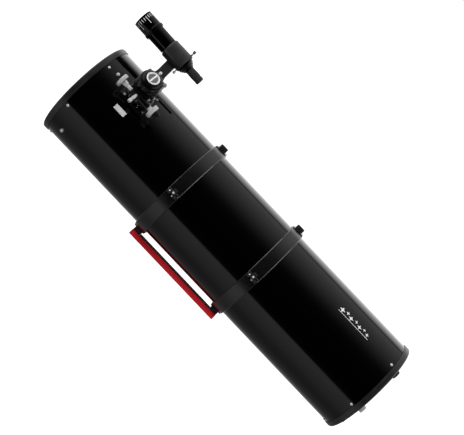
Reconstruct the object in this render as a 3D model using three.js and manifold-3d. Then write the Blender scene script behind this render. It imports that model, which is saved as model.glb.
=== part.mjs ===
// Optical tube assembly of a 10 inch f/5 Newtonian reflector: a rolled steel tube held by two hinged
// rings on a dovetail rail, with a two-speed focuser and a finder scope at its front end.
//
// Millimetres, +Z up. The optical axis is parallel to X: the open front is at -X, the mirror at +X.
// The origin is the centre of the rail's lower face. Angles round the tube ("clock angles") are
// measured about its axis from -Y towards +Z. Every part on the tube is modelled in a group turned
// to its clock angle, where x runs along the tube, z points outwards from the tube's axis and y
// completes the frame.

import * as THREE from 'three';
import { mergeVertices } from 'three/addons/utils/BufferGeometryUtils.js';
import Module from 'manifold-3d';

const wasm = await Module();
wasm.setup();

// ---------------------------------------------------------------------------------------------
// Driving dimensions
// ---------------------------------------------------------------------------------------------

const GAP = 0.3;                  // clearance between neighbouring solids
const DEG = Math.PI / 180;

// Tube and its end rings
const AXIS_Z = 178.3;             // optical axis above the rail's lower face
const TUBE_R = 144;
const TUBE_WALL = 1.2;
const FRONT_X = -521.4;
const REAR_X = 579.9;
const END_RING_R = 147;
const END_RING_LIP_R = 136.5;
const END_RING_WIDTH = 18;
const TUBE_SIDES = 60;

// Tube rings and rail
const RING_X = 146.3;             // each ring's centre, either side of the origin
const RING_WIDTH = 37;
const RING_R = 151;
const RING_BORE_R = TUBE_R + 0.6;
const PAD_HEIGHT = 151.5;         // flat pads, above and below the tube's axis
const PAD_HALF_Y = 25;
const HINGE_Y = 156.5;
const HINGE_R = 6;
const HINGE_PIN_R = 2.5;
const SPLIT = 0.4;                // half of the slit between a ring's halves
const LUG_OUT = 171;
const LUG_HEIGHT = 13;
const CLAMP_Y = 161;
const RAIL_HALF_LENGTH = 159;
const RAIL_HALF_WIDTH = 22;
const RAIL_TOP_HALF_WIDTH = 18;
const RAIL_HEIGHT = 15;
const SPACER_HALF_X = 11.85;
const SPACER_HALF_Y = 17;
const TOP_KNOB_R = 11.85;
const TOP_KNOB_TOP = 163.5;

// Spider and secondary mirror
const SPIDER_X = -465;
const VANE_WIDTH = 26;
const VANE_THICKNESS = 1;
const HUB_R = 21;
const FOCUS_CLOCK = 43;           // clock angle of the focuser, and of the first spider vane
const FOCUS_X = -386;
const SECONDARY_R = 31.5;
const SECONDARY_THICKNESS = 8;

// Primary mirror and its cell
const PRIMARY_R = 127;
const PRIMARY_THICKNESS = 36;
const PRIMARY_SAG = 3.2;
const CELL_BACK_X = REAR_X - 32;
const CELL_THICKNESS = 8;
const CELL_R = 122;
const COLLIMATION_R = 106;
const COLLIMATION_CLOCK = 51;
const LOCK_CLOCK = 339;
const FLANGE_BORE_R = 88;

// Focuser, in its own group: z is the height above the tube's axis
const BASE_HALF_X = 41;
const BASE_HALF_Y = 36.5;
const BASE_TOP = 152;
const BODY_TOP = 205;
const BODY_R = 33;
const DRAWTUBE_R = 27;
const CLAMP_RING_R = 31;
const CLAMP_RING_BOTTOM = 208;
const CLAMP_RING_TOP = 232;
const ADAPTER_TOP = 243;
const ADAPTER_R = 18;
const EYEPIECE_BORE_R = 15.9;
const SHAFT_Z = 191;
const SHAFT_Y = -36;
const BLOCK_FACE_Y = -42;          // lower face of the block that holds the shaft
const TENSION_Z = SHAFT_Z + 8;
const KNOB_R = 18.2;
const ROLLER_R = 4.7;

// Finder, in its own group: z is the height above the tube's axis
const FINDER_CLOCK = 87.5;
const FINDER_Z = 237.6;
const FINDER_TILT = 1.45;         // degrees the finder's front is raised in its sleeve
const STEM_X = -402;
const SLEEVE_FRONT_X = -437;
const SLEEVE_REAR_X = -374.8;
const SLEEVE_R = 28;
const SLEEVE_BORE_R = 25.4;
const FINDER_TUBE_R = 24.4;
const FINDER_WAIST_R = 21.5;      // inside the sleeve
const SHIELD_FRONT_X = -540.5;
const SHIELD_REAR_X = -489.5;
const SHIELD_R = 27;
const EYEPIECE_REAR_X = -313.8;
const SHOE_TOP = 161;

// ---------------------------------------------------------------------------------------------
// Geometry helpers
// ---------------------------------------------------------------------------------------------

// A closed geometry becomes a manifold solid: shared vertices merged, slivers dropped, faces out.
function solid(geometry) {
  const bare = geometry.clone();
  bare.deleteAttribute('normal');
  bare.deleteAttribute('uv');
  const merged = mergeVertices(bare, 1e-4);
  const positions = merged.attributes.position.array;
  const index = merged.index.array;
  const triangles = [];
  let volume = 0;
  for (let i = 0; i < index.length; i += 3) {
    const [a, b, c] = [index[i], index[i + 1], index[i + 2]];
    if (a === b || b === c || c === a) continue;
    triangles.push(a, b, c);
    const corner = (k) => new THREE.Vector3().fromArray(positions, 3 * k);
    volume += corner(a).dot(corner(b).cross(corner(c)));
  }
  if (volume < 0) triangles.reverse();
  const mesh = new wasm.Mesh({
    numProp: 3,
    vertProperties: new Float32Array(positions),
    triVerts: new Uint32Array(triangles),
  });
  return new wasm.Manifold(mesh);
}

function join(first, ...others) {
  return others.reduce((sum, shape) => sum.add(asSolid(shape)), asSolid(first));
}

function cut(first, ...tools) {
  return tools.reduce((rest, tool) => rest.subtract(asSolid(tool)), asSolid(first));
}

function common(first, second) {
  return asSolid(first).intersect(asSolid(second));
}

function asSolid(shape) {
  return shape.isBufferGeometry ? solid(shape) : shape;
}

function geometryOf(shape) {
  const mesh = asSolid(shape).getMesh();
  const geometry = new THREE.BufferGeometry();
  geometry.setAttribute('position', new THREE.BufferAttribute(new Float32Array(mesh.vertProperties), 3));
  geometry.setIndex(new THREE.BufferAttribute(new Uint32Array(mesh.triVerts), 1));
  geometry.computeVertexNormals();
  return geometry;
}

function box(x0, x1, y0, y1, z0, z1) {
  const shape = new THREE.BoxGeometry(x1 - x0, y1 - y0, z1 - z0);
  return shape.translate((x0 + x1) / 2, (y0 + y1) / 2, (z0 + z1) / 2);
}

// Solid of revolution about Z from [radius, z] points; both ends lie on the axis.
function turned(profile, sides) {
  const points = profile.map(([r, z]) => new THREE.Vector2(r, z));
  return new THREE.LatheGeometry(points, sides).rotateX(Math.PI / 2);
}

function rod(radius, z0, z1, sides) {
  return turned([[0, z0], [radius, z0], [radius, z1], [0, z1]], sides);
}

// Ring about Z whose section is a closed [radius, z] outline.
function ringOf(outline, sides) {
  return turned([...outline, outline[0]], sides);
}

function pipe(inner, outer, z0, z1, sides) {
  return ringOf([[inner, z0], [outer, z0], [outer, z1], [inner, z1]], sides);
}

// Turns a shape made about Z so that it lies along X.
function alongX(shape) {
  return shape.rotateY(Math.PI / 2);
}

// Moves a shape made about Z out to a clock angle on the tube: z outwards, at a place along it.
function atClock(shape, clock, x) {
  return shape.rotateX(Math.PI / 2 - clock * DEG).translate(x, 0, 0);
}

// Plate of an [x, y] outline, extruded upwards from z0 to z1.
function plate(outline, z0, z1) {
  const shape = new THREE.Shape(outline.map(([x, y]) => new THREE.Vector2(x, y)));
  return new THREE.ExtrudeGeometry(shape, { depth: z1 - z0, bevelEnabled: false }).translate(0, 0, z0);
}

function roundedPlate(halfX, halfY, radius, z0, z1) {
  const outline = [];
  const corners = [[1, 1, 0], [-1, 1, 90], [-1, -1, 180], [1, -1, 270]];
  for (const [sx, sy, start] of corners) {
    for (let step = 0; step <= 3; step += 1) {
      const angle = (start + 30 * step) * DEG;
      const x = sx * (halfX - radius) + radius * Math.cos(angle);
      const y = sy * (halfY - radius) + radius * Math.sin(angle);
      outline.push([x, y]);
    }
  }
  return plate(outline, z0, z1);
}

// Prism of a [y, z] outline, along X from x0 to x1.
function prismX(outline, x0, x1) {
  const shape = new THREE.Shape(outline.map(([y, z]) => new THREE.Vector2(y, z)));
  const bar = new THREE.ExtrudeGeometry(shape, { depth: x1 - x0, bevelEnabled: false });
  // Extruded along Z with y, z in its x, y: cycle the axes so that the depth lies along X.
  const cycle = new THREE.Matrix4().set(0, 0, 1, x0, 1, 0, 0, 0, 0, 1, 0, 0, 0, 0, 0, 1);
  return bar.applyMatrix4(cycle);
}

// ---------------------------------------------------------------------------------------------
// Scene graph and materials
// ---------------------------------------------------------------------------------------------

const assembly = new THREE.Group();

// A group on the tube's axis, turned so that its z points out at the clock angle.
function clockGroup(clock) {
  const group = new THREE.Group();
  group.position.z = AXIS_Z;
  group.rotation.x = Math.PI / 2 - clock * DEG;
  assembly.add(group);
  return group;
}

const FINISHES = {
  gloss_black: { color: 0x0a0a0b, roughness: 0.12, metalness: 0.0 },
  satin_black: { color: 0x1c1c1e, roughness: 0.45, metalness: 0.2 },
  cast_black: { color: 0x2c2d2f, roughness: 0.6, metalness: 0.1 },
  silver: { color: 0xc9cbcd, roughness: 0.3, metalness: 1.0 },
  red: { color: 0xaf282a, roughness: 0.4, metalness: 0.6 },
  mirror: { color: 0xeef1f4, roughness: 0.02, metalness: 1.0 },
  glass: { color: 0x90a8b8, roughness: 0.03, metalness: 0.0 },
  rubber: { color: 0x141414, roughness: 0.85, metalness: 0.0 },
};

function place(group, name, shape, finish) {
  const mesh = new THREE.Mesh(geometryOf(shape), new THREE.MeshStandardMaterial(FINISHES[finish]));
  mesh.name = name;
  group.add(mesh);
}

const axisGroup = clockGroup(90);

// ---------------------------------------------------------------------------------------------
// Fasteners
// ---------------------------------------------------------------------------------------------

// Knurled thumbscrew standing on z = 0, its shank reaching down to -shank.
function thumbscrew(headR, headHeight, neckHeight, shankR, shank) {
  const neckR = 0.6 * headR;
  const profile = [
    [0, -shank],
    [shankR, -shank],
    [shankR, 0],
    [neckR, 0],
    [neckR, neckHeight],
    [headR, neckHeight],
    [headR, neckHeight + headHeight],
    [0, neckHeight + headHeight],
  ];
  return turned(profile, 10);
}

// ---------------------------------------------------------------------------------------------
// Tube and end rings
// ---------------------------------------------------------------------------------------------

const RIM = 3;                    // thickness of an end ring's lip over the tube's end

// Section of an end ring as [radius, distance from its outer face].
const END_RING_OUTLINE = [
  [END_RING_LIP_R, RIM],
  [END_RING_LIP_R, 0],
  [END_RING_R - 4.5, 0],
  [END_RING_R - 1.2, 1.5],
  [END_RING_R, 5],
  [END_RING_R, END_RING_WIDTH],
  [TUBE_R + GAP, END_RING_WIDTH],
  [TUBE_R + GAP, RIM],
];

function buildTube() {
  const front = FRONT_X + RIM + GAP;
  const rear = REAR_X - RIM - GAP;
  const shell = alongX(pipe(TUBE_R - TUBE_WALL, TUBE_R, front, rear, TUBE_SIDES));
  const focuserHole = atClock(rod(DRAWTUBE_R + 6, 120, 160, 20), FOCUS_CLOCK, FOCUS_X);
  place(axisGroup, 'tube', cut(shell, focuserHole), 'gloss_black');

  const frontRing = ringOf(END_RING_OUTLINE.map(([r, d]) => [r, FRONT_X + d]), TUBE_SIDES);
  place(axisGroup, 'front_ring', alongX(frontRing), 'cast_black');

  const rim = alongX(ringOf(END_RING_OUTLINE.map(([r, d]) => [r, REAR_X - d]), TUBE_SIDES));
  const flange = alongX(pipe(FLANGE_BORE_R, END_RING_LIP_R + 1, REAR_X - 7, REAR_X - 1.5, 32));
  const holes = [];
  for (let k = 0; k < 3; k += 1) {
    for (const clock of [COLLIMATION_CLOCK + 120 * k, LOCK_CLOCK + 120 * k]) {
      const hole = alongX(rod(4.2, 0, 20, 8)).translate(REAR_X - 15, 0, 0);
      hole.translate(0, -COLLIMATION_R * Math.cos(clock * DEG), COLLIMATION_R * Math.sin(clock * DEG));
      holes.push(hole);
    }
  }
  place(axisGroup, 'rear_ring', cut(join(rim, flange), ...holes), 'cast_black');
}

// ---------------------------------------------------------------------------------------------
// Spider and secondary mirror
// ---------------------------------------------------------------------------------------------

function buildSpider() {
  const half = VANE_WIDTH / 2;
  const inner = TUBE_R - TUBE_WALL - GAP;
  let spider = alongX(rod(HUB_R, SPIDER_X - half, SPIDER_X + half, 20));
  for (let k = 0; k < 4; k += 1) {
    const clock = FOCUS_CLOCK + 90 * k;
    const vane = box(-half, half, -VANE_THICKNESS / 2, VANE_THICKNESS / 2, HUB_R - 4, inner - 1);
    const foot = box(-half, half, -7, 7, inner - 2.4, inner - 0.5);
    spider = join(spider, atClock(vane, clock, SPIDER_X), atClock(foot, clock, SPIDER_X));
    const nut = turned([
      [0, TUBE_R + GAP],
      [4.2, TUBE_R + GAP],
      [4.6, TUBE_R + 1],
      [4.6, TUBE_R + 5],
      [3, TUBE_R + 6.5],
      [0, TUBE_R + 6.5],
    ], 10).translate(SPIDER_X, 0, 0);
    place(clockGroup(clock), `spider_nut_${k + 1}`, nut, 'silver');
  }
  const boltHole = alongX(rod(3.6, -20, 20, 10)).translate(SPIDER_X, 0, 0);
  place(axisGroup, 'spider', cut(spider, boltHole), 'satin_black');

  const bolt = alongX(turned([
    [0, SPIDER_X - half - 8],
    [7, SPIDER_X - half - 8],
    [7, SPIDER_X - half - GAP],
    [3, SPIDER_X - half - GAP],
    [3, SPIDER_X + half + 10],
    [0, SPIDER_X + half + 10],
  ], 10));
  place(axisGroup, 'secondary_bolt', bolt, 'silver');
}

// Everything beyond a plane that faces both the focuser and the primary, offset behind the mirror.
function beyondDiagonal(offset) {
  const slab = box(-120, 120, -120, 120, 0, 120).rotateY(Math.PI / 4);
  return slab.translate(FOCUS_X - offset * Math.SQRT1_2, 0, -offset * Math.SQRT1_2);
}

function buildSecondary() {
  const group = clockGroup(FOCUS_CLOCK);
  const start = SPIDER_X + VANE_WIDTH / 2 + 4;
  const blank = alongX(rod(SECONDARY_R, FOCUS_X - 60, FOCUS_X + 60, 24));
  const slab = common(blank, beyondDiagonal(SECONDARY_THICKNESS));
  place(group, 'secondary_mirror', cut(slab, beyondDiagonal(0)), 'mirror');

  const boltHole = alongX(rod(3.6, start - 1, start + 9, 10));
  const barrel = alongX(rod(SECONDARY_R - 4, start, FOCUS_X + 40, 24));
  const holder = cut(barrel, beyondDiagonal(SECONDARY_THICKNESS + GAP), boltHole);
  place(group, 'secondary_holder', holder, 'satin_black');
}

// ---------------------------------------------------------------------------------------------
// Primary mirror, its cell and its adjusters
// ---------------------------------------------------------------------------------------------

function buildPrimary() {
  const cellFront = CELL_BACK_X - CELL_THICKNESS;
  const mirrorBack = cellFront - 1.2;
  const face = mirrorBack - PRIMARY_THICKNESS;
  // A concave paraboloid, deepest at the centre.
  const profile = [[0, mirrorBack], [PRIMARY_R, mirrorBack], [PRIMARY_R, face + 1]];
  const steps = 3;
  for (let k = steps; k >= 0; k -= 1) {
    const r = (PRIMARY_R - 1) * k / steps;
    profile.push([r, face + PRIMARY_SAG * (1 - (k / steps) ** 2)]);
  }
  place(axisGroup, 'primary_mirror', alongX(turned(profile, 24)), 'mirror');

  const post = PRIMARY_R + 0.8;
  let cell = alongX(rod(CELL_R, cellFront, CELL_BACK_X, 32));
  const holes = [];
  for (let k = 0; k < 3; k += 1) {
    const clock = COLLIMATION_CLOCK + 120 * k;
    const arm = box(cellFront, CELL_BACK_X, -11, 11, CELL_R - 8, post + 5);
    const upright = box(face - 1.2, CELL_BACK_X, -11, 11, post, post + 5);
    cell = join(cell, atClock(arm, clock, 0), atClock(upright, clock, 0));
    const clip = box(face - 4.5, face - 1.5, -9, 9, PRIMARY_R - 5, post + 5);
    place(clockGroup(clock), `mirror_clip_${k + 1}`, clip, 'satin_black');
    for (const around of [clock + 60, clock]) {
      const isVent = around !== clock;
      const hole = alongX(rod(isVent ? 24 : 3.7, cellFront - 1, CELL_BACK_X + 1, isVent ? 16 : 8));
      const out = isVent ? 70 : COLLIMATION_R;
      hole.translate(0, -out * Math.cos(around * DEG), out * Math.sin(around * DEG));
      holes.push(hole);
    }
  }
  place(axisGroup, 'mirror_cell', cut(cell, ...holes), 'cast_black');
}

// Screws that stand on the rear flange; in each clock group x runs along the tube.
function buildAdjusters() {
  const seat = REAR_X - 1.5 + GAP;
  for (let k = 0; k < 3; k += 1) {
    const knob = turned([
      [0, CELL_BACK_X - 3],
      [3, CELL_BACK_X - 3],
      [3, seat],
      [9, seat],
      [9, seat + 2],
      [12, seat + 3],
      [12, seat + 12],
      [10.5, seat + 13.5],
      [0, seat + 13.5],
    ], 12);
    const place1 = clockGroup(COLLIMATION_CLOCK + 120 * k);
    place(place1, `collimation_knob_${k + 1}`, alongX(knob).translate(0, 0, COLLIMATION_R), 'rubber');

    const lock = turned([
      [0, CELL_BACK_X + 2.4],
      [2.5, CELL_BACK_X + 2.4],
      [2.5, seat],
      [5, seat],
      [5, seat + 6],
      [10.5, seat + 6],
      [10.5, seat + 15.5],
      [0, seat + 15.5],
    ], 10);
    const place2 = clockGroup(LOCK_CLOCK + 120 * k);
    place(place2, `collimation_lock_${k + 1}`, alongX(lock).translate(0, 0, COLLIMATION_R), 'silver');
  }
}

// ---------------------------------------------------------------------------------------------
// Focuser
// ---------------------------------------------------------------------------------------------

function buildFocuser() {
  const group = clockGroup(FOCUS_CLOCK);
  group.position.x = FOCUS_X;
  const bore = DRAWTUBE_R + 0.4;
  const tubeSurface = alongX(rod(TUBE_R + GAP, -80, 80, TUBE_SIDES));

  const base = roundedPlate(BASE_HALF_X, BASE_HALF_Y, 5, 136, BASE_TOP);
  place(group, 'focuser_base', cut(base, tubeSurface, rod(bore + 5, 120, 170, 20)), 'satin_black');

  // Body: a flanged barrel with a block for the shaft on its lower side and a bearing sleeve.
  const barrel = turned([
    [0, BASE_TOP + GAP],
    [37, BASE_TOP + GAP],
    [37, BASE_TOP + 8],
    [BODY_R, BASE_TOP + 11],
    [BODY_R, BODY_TOP],
    [0, BODY_TOP],
  ], 20);
  const block = box(-18, 12, BLOCK_FACE_Y, -18, SHAFT_Z - 14, BODY_TOP - 2);
  const sleeve = alongX(rod(9.5, 6.5, 43.5, 12)).translate(0, SHAFT_Y, SHAFT_Z);
  const shaftBore = alongX(rod(3.4, -60, 60, 10)).translate(0, SHAFT_Y, SHAFT_Z);
  const window = box(-10.5, 10.5, SHAFT_Y - 2, -20, SHAFT_Z - 6, SHAFT_Z + 6);
  const groove = alongX(rod(ROLLER_R + 0.4, -10.5, 10.5, 10)).translate(0, SHAFT_Y, SHAFT_Z);
  const screwHole = rod(3, 0, 5, 8).rotateX(Math.PI / 2).translate(0, BLOCK_FACE_Y + 3, TENSION_Z);
  const rackSlot = box(-4.6, 4.6, -31.5, -20, BASE_TOP - 5, BODY_TOP + 1);
  const body = cut(
    join(barrel, block, sleeve), rod(bore, 100, 260, 20), shaftBore, window, groove, rackSlot, screwHole,
  );
  place(group, 'focuser_body', body, 'satin_black');

  // Drawtube with its clamp ring and the flat track that the shaft's roller drives.
  const pipeSolid = solid(pipe(DRAWTUBE_R - 1.7, DRAWTUBE_R, 128, CLAMP_RING_TOP - 8, 20));
  const collar = pipe(DRAWTUBE_R - 1.7, CLAMP_RING_R, CLAMP_RING_BOTTOM, CLAMP_RING_TOP, 20);
  const track = box(-4, 4, SHAFT_Y + ROLLER_R + 0.15, -26, 135, CLAMP_RING_BOTTOM + 2);
  const radial = rod(2.4, 20, 42, 8).rotateY(Math.PI / 2).rotateZ(45 * DEG);
  radial.translate(0, 0, (CLAMP_RING_BOTTOM + CLAMP_RING_TOP) / 2);
  place(group, 'drawtube', cut(join(pipeSolid, collar, track), radial), 'satin_black');

  const screw = thumbscrew(5.5, 8, 5, 2, CLAMP_RING_R - 25.6 + GAP);
  screw.rotateY(Math.PI / 2).translate(CLAMP_RING_R + GAP, 0, 0).rotateZ(45 * DEG);
  screw.translate(0, 0, (CLAMP_RING_BOTTOM + CLAMP_RING_TOP) / 2);
  place(group, 'drawtube_thumbscrew', screw, 'silver');

  const adapter = ringOf([
    [EYEPIECE_BORE_R, 196],
    [24.9, 196],
    [24.9, CLAMP_RING_TOP + GAP],
    [27, CLAMP_RING_TOP + GAP],
    [27, CLAMP_RING_TOP + 5],
    [ADAPTER_R + 3, ADAPTER_TOP - 2.5],
    [ADAPTER_R, ADAPTER_TOP],
    [EYEPIECE_BORE_R, ADAPTER_TOP],
  ], 20);
  const setHole = rod(2.4, 10, 40, 8).rotateX(-Math.PI / 2).translate(0, 0, CLAMP_RING_TOP + 4.5);
  place(group, 'eyepiece_adapter', cut(adapter, setHole), 'satin_black');

  const setScrew = thumbscrew(3.9, 6.5, 1, 2, 7).rotateX(-Math.PI / 2);
  setScrew.translate(0, 27 + GAP, CLAMP_RING_TOP + 4.5);
  place(group, 'adapter_thumbscrew', setScrew, 'silver');

  const plug = join(
    rod(EYEPIECE_BORE_R - GAP, 212, ADAPTER_TOP - 4, 20),
    box(-14, 14, -2, 2, ADAPTER_TOP - 5, ADAPTER_TOP - 0.4),
  );
  place(group, 'dust_plug', plug, 'silver');

  // Shaft with its traction roller, coarse knobs on both ends and the fine knob beyond.
  const shaft = alongX(turned([
    [0, -56],
    [3, -56],
    [3, -9],
    [ROLLER_R, -9],
    [ROLLER_R, 9],
    [3, 9],
    [3, 60],
    [0, 60],
  ], 10));
  place(group, 'focus_shaft', shaft.translate(0, SHAFT_Y, SHAFT_Z), 'silver');

  const frontKnob = ringOf([
    [3.3, -57],
    [KNOB_R - 1.5, -57],
    [KNOB_R, -55.5],
    [KNOB_R, -49],
    [KNOB_R - 1.5, -47.8],
    [7.6, -47.8],
    [7.6, -33],
    [5, -31],
    [5, -19],
    [3.3, -19],
  ], 20);
  place(group, 'focus_knob_front', alongX(frontKnob).translate(0, SHAFT_Y, SHAFT_Z), 'silver');

  const rearKnob = ringOf([
    [3.3, 44],
    [7.4, 44],
    [7.4, 50.4],
    [KNOB_R - 1.5, 50.4],
    [KNOB_R, 51.8],
    [KNOB_R, 60],
    [KNOB_R - 1.5, 61.6],
    [3.3, 61.6],
  ], 20);
  place(group, 'focus_knob_rear', alongX(rearKnob).translate(0, SHAFT_Y, SHAFT_Z), 'silver');

  const fineKnob = turned([[0, 62], [9, 62], [9.5, 63.5], [9.5, 74], [8, 75.5], [0, 75.5]], 14);
  place(group, 'fine_focus_knob', alongX(fineKnob).translate(0, SHAFT_Y, SHAFT_Z), 'satin_black');

  // Tension screw: a short tip in the block, a neck that widens and a knurled head.
  const tension = turned([
    [0, -2],
    [2.6, -2],
    [2.6, GAP],
    [3.2, GAP],
    [4.8, 17],
    [3.3, 19.5],
    [4.9, 20.5],
    [4.9, 31],
    [0, 31],
  ], 12).rotateX(Math.PI / 2);
  place(group, 'tension_screw', tension.translate(0, BLOCK_FACE_Y, TENSION_Z), 'silver');
}

// ---------------------------------------------------------------------------------------------
// Finder
// ---------------------------------------------------------------------------------------------

const SCREW_X = -380;             // the finder's three pointing screws
const SCREW_CLOCKS = [90, 205, -72];

// Moves a part that stands on z = 0 to the sleeve's outside, at an angle about the finder's axis.
function onSleeve(shape, clock) {
  return atClock(shape.translate(0, 0, SLEEVE_R + GAP), clock, SCREW_X).translate(0, 0, FINDER_Z);
}

function buildFinder() {
  const group = clockGroup(FINDER_CLOCK);
  const tubeSurface = alongX(rod(TUBE_R + GAP, STEM_X - 60, STEM_X + 60, TUBE_SIDES));

  // Shoe with a dovetail slot that runs along the tube.
  const slot = prismX([[-13.5, 151], [13.5, 151], [10.5, 162], [-10.5, 162]], STEM_X - 60, STEM_X + 60);
  const block = box(STEM_X - 30, STEM_X + 30, -19, 19, 138, SHOE_TOP);
  const screwHole = rod(2.4, 0, 12, 8).rotateX(Math.PI / 2).translate(STEM_X, -10, 156);
  place(group, 'finder_shoe', cut(block, tubeSurface, slot, screwHole), 'satin_black');

  const shoeScrew = thumbscrew(6, 8, 4, 2, 5.5).rotateX(Math.PI / 2);
  place(group, 'finder_shoe_screw', shoeScrew.translate(STEM_X, -19.3, 156), 'silver');

  // Bracket: dovetail foot, waisted stem and the sleeve round the finder.
  const foot = prismX(
    [[-13, 151.3], [13, 151.3], [10.1, 161], [10.1, 164], [-10.1, 164], [-10.1, 161]],
    STEM_X - 30, STEM_X + 30,
  );
  const side = [
    [-17, 163], [17, 163], [14, 176], [14, 205], [15.5, 222], [-15.5, 222], [-14, 205], [-14, 176],
  ];
  const stem = plate(side, -5, 5).rotateX(Math.PI / 2).translate(STEM_X, 0, 0);
  const sleeve = ringOf([
    [SLEEVE_BORE_R, SLEEVE_FRONT_X],
    [SLEEVE_R - 1.5, SLEEVE_FRONT_X],
    [SLEEVE_R, SLEEVE_FRONT_X + 3],
    [SLEEVE_R, SLEEVE_REAR_X - 3],
    [SLEEVE_R - 1.5, SLEEVE_REAR_X],
    [SLEEVE_BORE_R, SLEEVE_REAR_X],
  ], 24);
  const inside = alongX(rod(SLEEVE_BORE_R, SLEEVE_FRONT_X - 5, SLEEVE_REAR_X + 5, 24));
  const holes = SCREW_CLOCKS.map((clock) => onSleeve(rod(2.4, -12, 8, 8), clock));
  const bracket = cut(
    join(cut(join(foot, stem), inside.translate(0, 0, FINDER_Z)), alongX(sleeve).translate(0, 0, FINDER_Z)),
    ...holes,
  );
  place(group, 'finder_bracket', bracket, 'satin_black');

  // The scope stands tilted in the sleeve, about the middle of its O-ring.
  const pivotX = SLEEVE_FRONT_X + 4.5;
  const scope = new THREE.Group();
  scope.position.set(pivotX, 0, FINDER_Z);
  scope.rotation.y = FINDER_TILT * DEG;
  group.add(scope);
  const alongScope = (shape) => alongX(shape).translate(-pivotX, 0, 0);

  const oring = pipe(FINDER_WAIST_R + 0.3, SLEEVE_BORE_R - 0.6, pivotX - 1.5, pivotX + 1.5, 24);
  place(scope, 'finder_o_ring', alongScope(oring), 'rubber');

  const tube = turned([
    [0, SHIELD_REAR_X - 14],
    [22, SHIELD_REAR_X - 14],
    [22, SHIELD_REAR_X + GAP],
    [FINDER_TUBE_R, SHIELD_REAR_X + GAP],
    [FINDER_TUBE_R, SLEEVE_FRONT_X - 3],
    [FINDER_WAIST_R, SLEEVE_FRONT_X - 2],
    [FINDER_WAIST_R, SLEEVE_REAR_X + 2],
    [22.5, SLEEVE_REAR_X + 2],
    [22.5, SLEEVE_REAR_X + 11],
    [16, SLEEVE_REAR_X + 12.5],
    [16, SLEEVE_REAR_X + 19],
    [0, SLEEVE_REAR_X + 19],
  ], 24);
  place(scope, 'finder_tube', alongScope(tube), 'gloss_black');

  const shield = ringOf([
    [24, SHIELD_FRONT_X],
    [SHIELD_R - 0.8, SHIELD_FRONT_X],
    [SHIELD_R, SHIELD_FRONT_X + 1.5],
    [SHIELD_R, SHIELD_REAR_X - 10],
    [SHIELD_R + 1.6, SHIELD_REAR_X - 9],
    [SHIELD_R + 1.6, SHIELD_REAR_X],
    [22.3, SHIELD_REAR_X],
    [22.3, SHIELD_REAR_X - 20],
    [24, SHIELD_REAR_X - 22],
  ], 24);
  place(scope, 'finder_dew_shield', alongScope(shield), 'gloss_black');

  const lensX = SHIELD_REAR_X - 26;
  const lens = turned([
    [0, lensX - 6],
    [8, lensX - 5.6],
    [16, lensX - 4.3],
    [23, lensX - 2.2],
    [23, lensX + 1.5],
    [16, lensX + 2.8],
    [0, lensX + 3.6],
  ], 20);
  place(scope, 'finder_objective', alongScope(lens), 'glass');

  const eyepieceFront = SLEEVE_REAR_X + 19 + GAP;
  const eyepiece = turned([
    [0, eyepieceFront],
    [11.85, eyepieceFront],
    [11.85, EYEPIECE_REAR_X - 1],
    [10.8, EYEPIECE_REAR_X],
    [8, EYEPIECE_REAR_X],
    [7, EYEPIECE_REAR_X - 7],
    [0, EYEPIECE_REAR_X - 6.2],
  ], 20);
  place(scope, 'finder_eyepiece', alongScope(eyepiece), 'satin_black');

  // The screws' tips stop short of the scope, which leaves room for its tilt.
  const screws = {
    finder_screw_top: thumbscrew(4.25, 8, 7, 1.9, 5.8),
    finder_screw_side: thumbscrew(4.25, 7, 4, 1.9, 3.4),
    finder_plunger: thumbscrew(4, 7, 5, 1.9, 3.4),
  };
  Object.entries(screws).forEach(([name, screw], k) => {
    place(group, name, onSleeve(screw, SCREW_CLOCKS[k]), 'silver');
  });
}

// ---------------------------------------------------------------------------------------------
// Tube rings, rail and label
// ---------------------------------------------------------------------------------------------

// One half of a ring about X, centred on x = 0: upper when side is 1, lower when it is -1.
function ringHalf(side) {
  const half = RING_WIDTH / 2;
  const band = alongX(ringOf([
    [RING_BORE_R, -half],
    [RING_R - 1.2, -half],
    [RING_R, 1.2 - half],
    [RING_R, half - 1.2],
    [RING_R - 1.2, half],
    [RING_BORE_R, half],
  ], TUBE_SIDES));
  const padOutline = [
    [-PAD_HALF_Y, 140], [PAD_HALF_Y, 140], [PAD_HALF_Y, PAD_HEIGHT], [-PAD_HALF_Y, PAD_HEIGHT],
  ];
  const pad = prismX(padOutline, -half, half);
  const lug = box(-half + 5, half - 5, 146, LUG_OUT, SPLIT, LUG_HEIGHT);
  if (side < 0) {
    pad.rotateX(Math.PI);
    lug.translate(0, 0, -LUG_HEIGHT - SPLIT);
  }
  const bore = alongX(rod(RING_BORE_R, -half - 1, half + 1, TUBE_SIDES));
  const otherHalf = box(-60, 60, -200, 200, -200, SPLIT);
  if (side < 0) otherHalf.rotateX(Math.PI);
  let shape = cut(join(band, pad, lug), bore, otherHalf);

  // Hinge: the upper half has the middle knuckle, the lower half the two outer ones.
  const knuckleEnds = side > 0 ? [[-6, 6]] : [[-16, -6.4], [6.4, 16]];
  for (const [from, to] of knuckleEnds) {
    const barrel = alongX(rod(HINGE_R, from, to, 12)).translate(0, -HINGE_Y, 0);
    const web = box(from, to, -HINGE_Y, -147.5, Math.min(0, 9 * side), Math.max(0, 9 * side));
    shape = join(shape, cut(join(barrel, web), bore));
  }
  const clear = HINGE_R + 0.6;
  const room = side > 0 ? [[-16.5, -6.2], [6.2, 16.5]] : [[-6.2, 6.2]];
  for (const [from, to] of room) {
    shape = cut(shape, alongX(rod(clear, from, to, 12)).translate(0, -HINGE_Y, 0));
  }
  const pinHole = alongX(rod(HINGE_PIN_R + 0.3, -half, half, 10)).translate(0, -HINGE_Y, 0);
  const screwR = side > 0 ? 3.4 : 3.7;
  return cut(shape, pinHole, rod(screwR, -30, 30, 10).translate(0, CLAMP_Y, 0));
}

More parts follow.
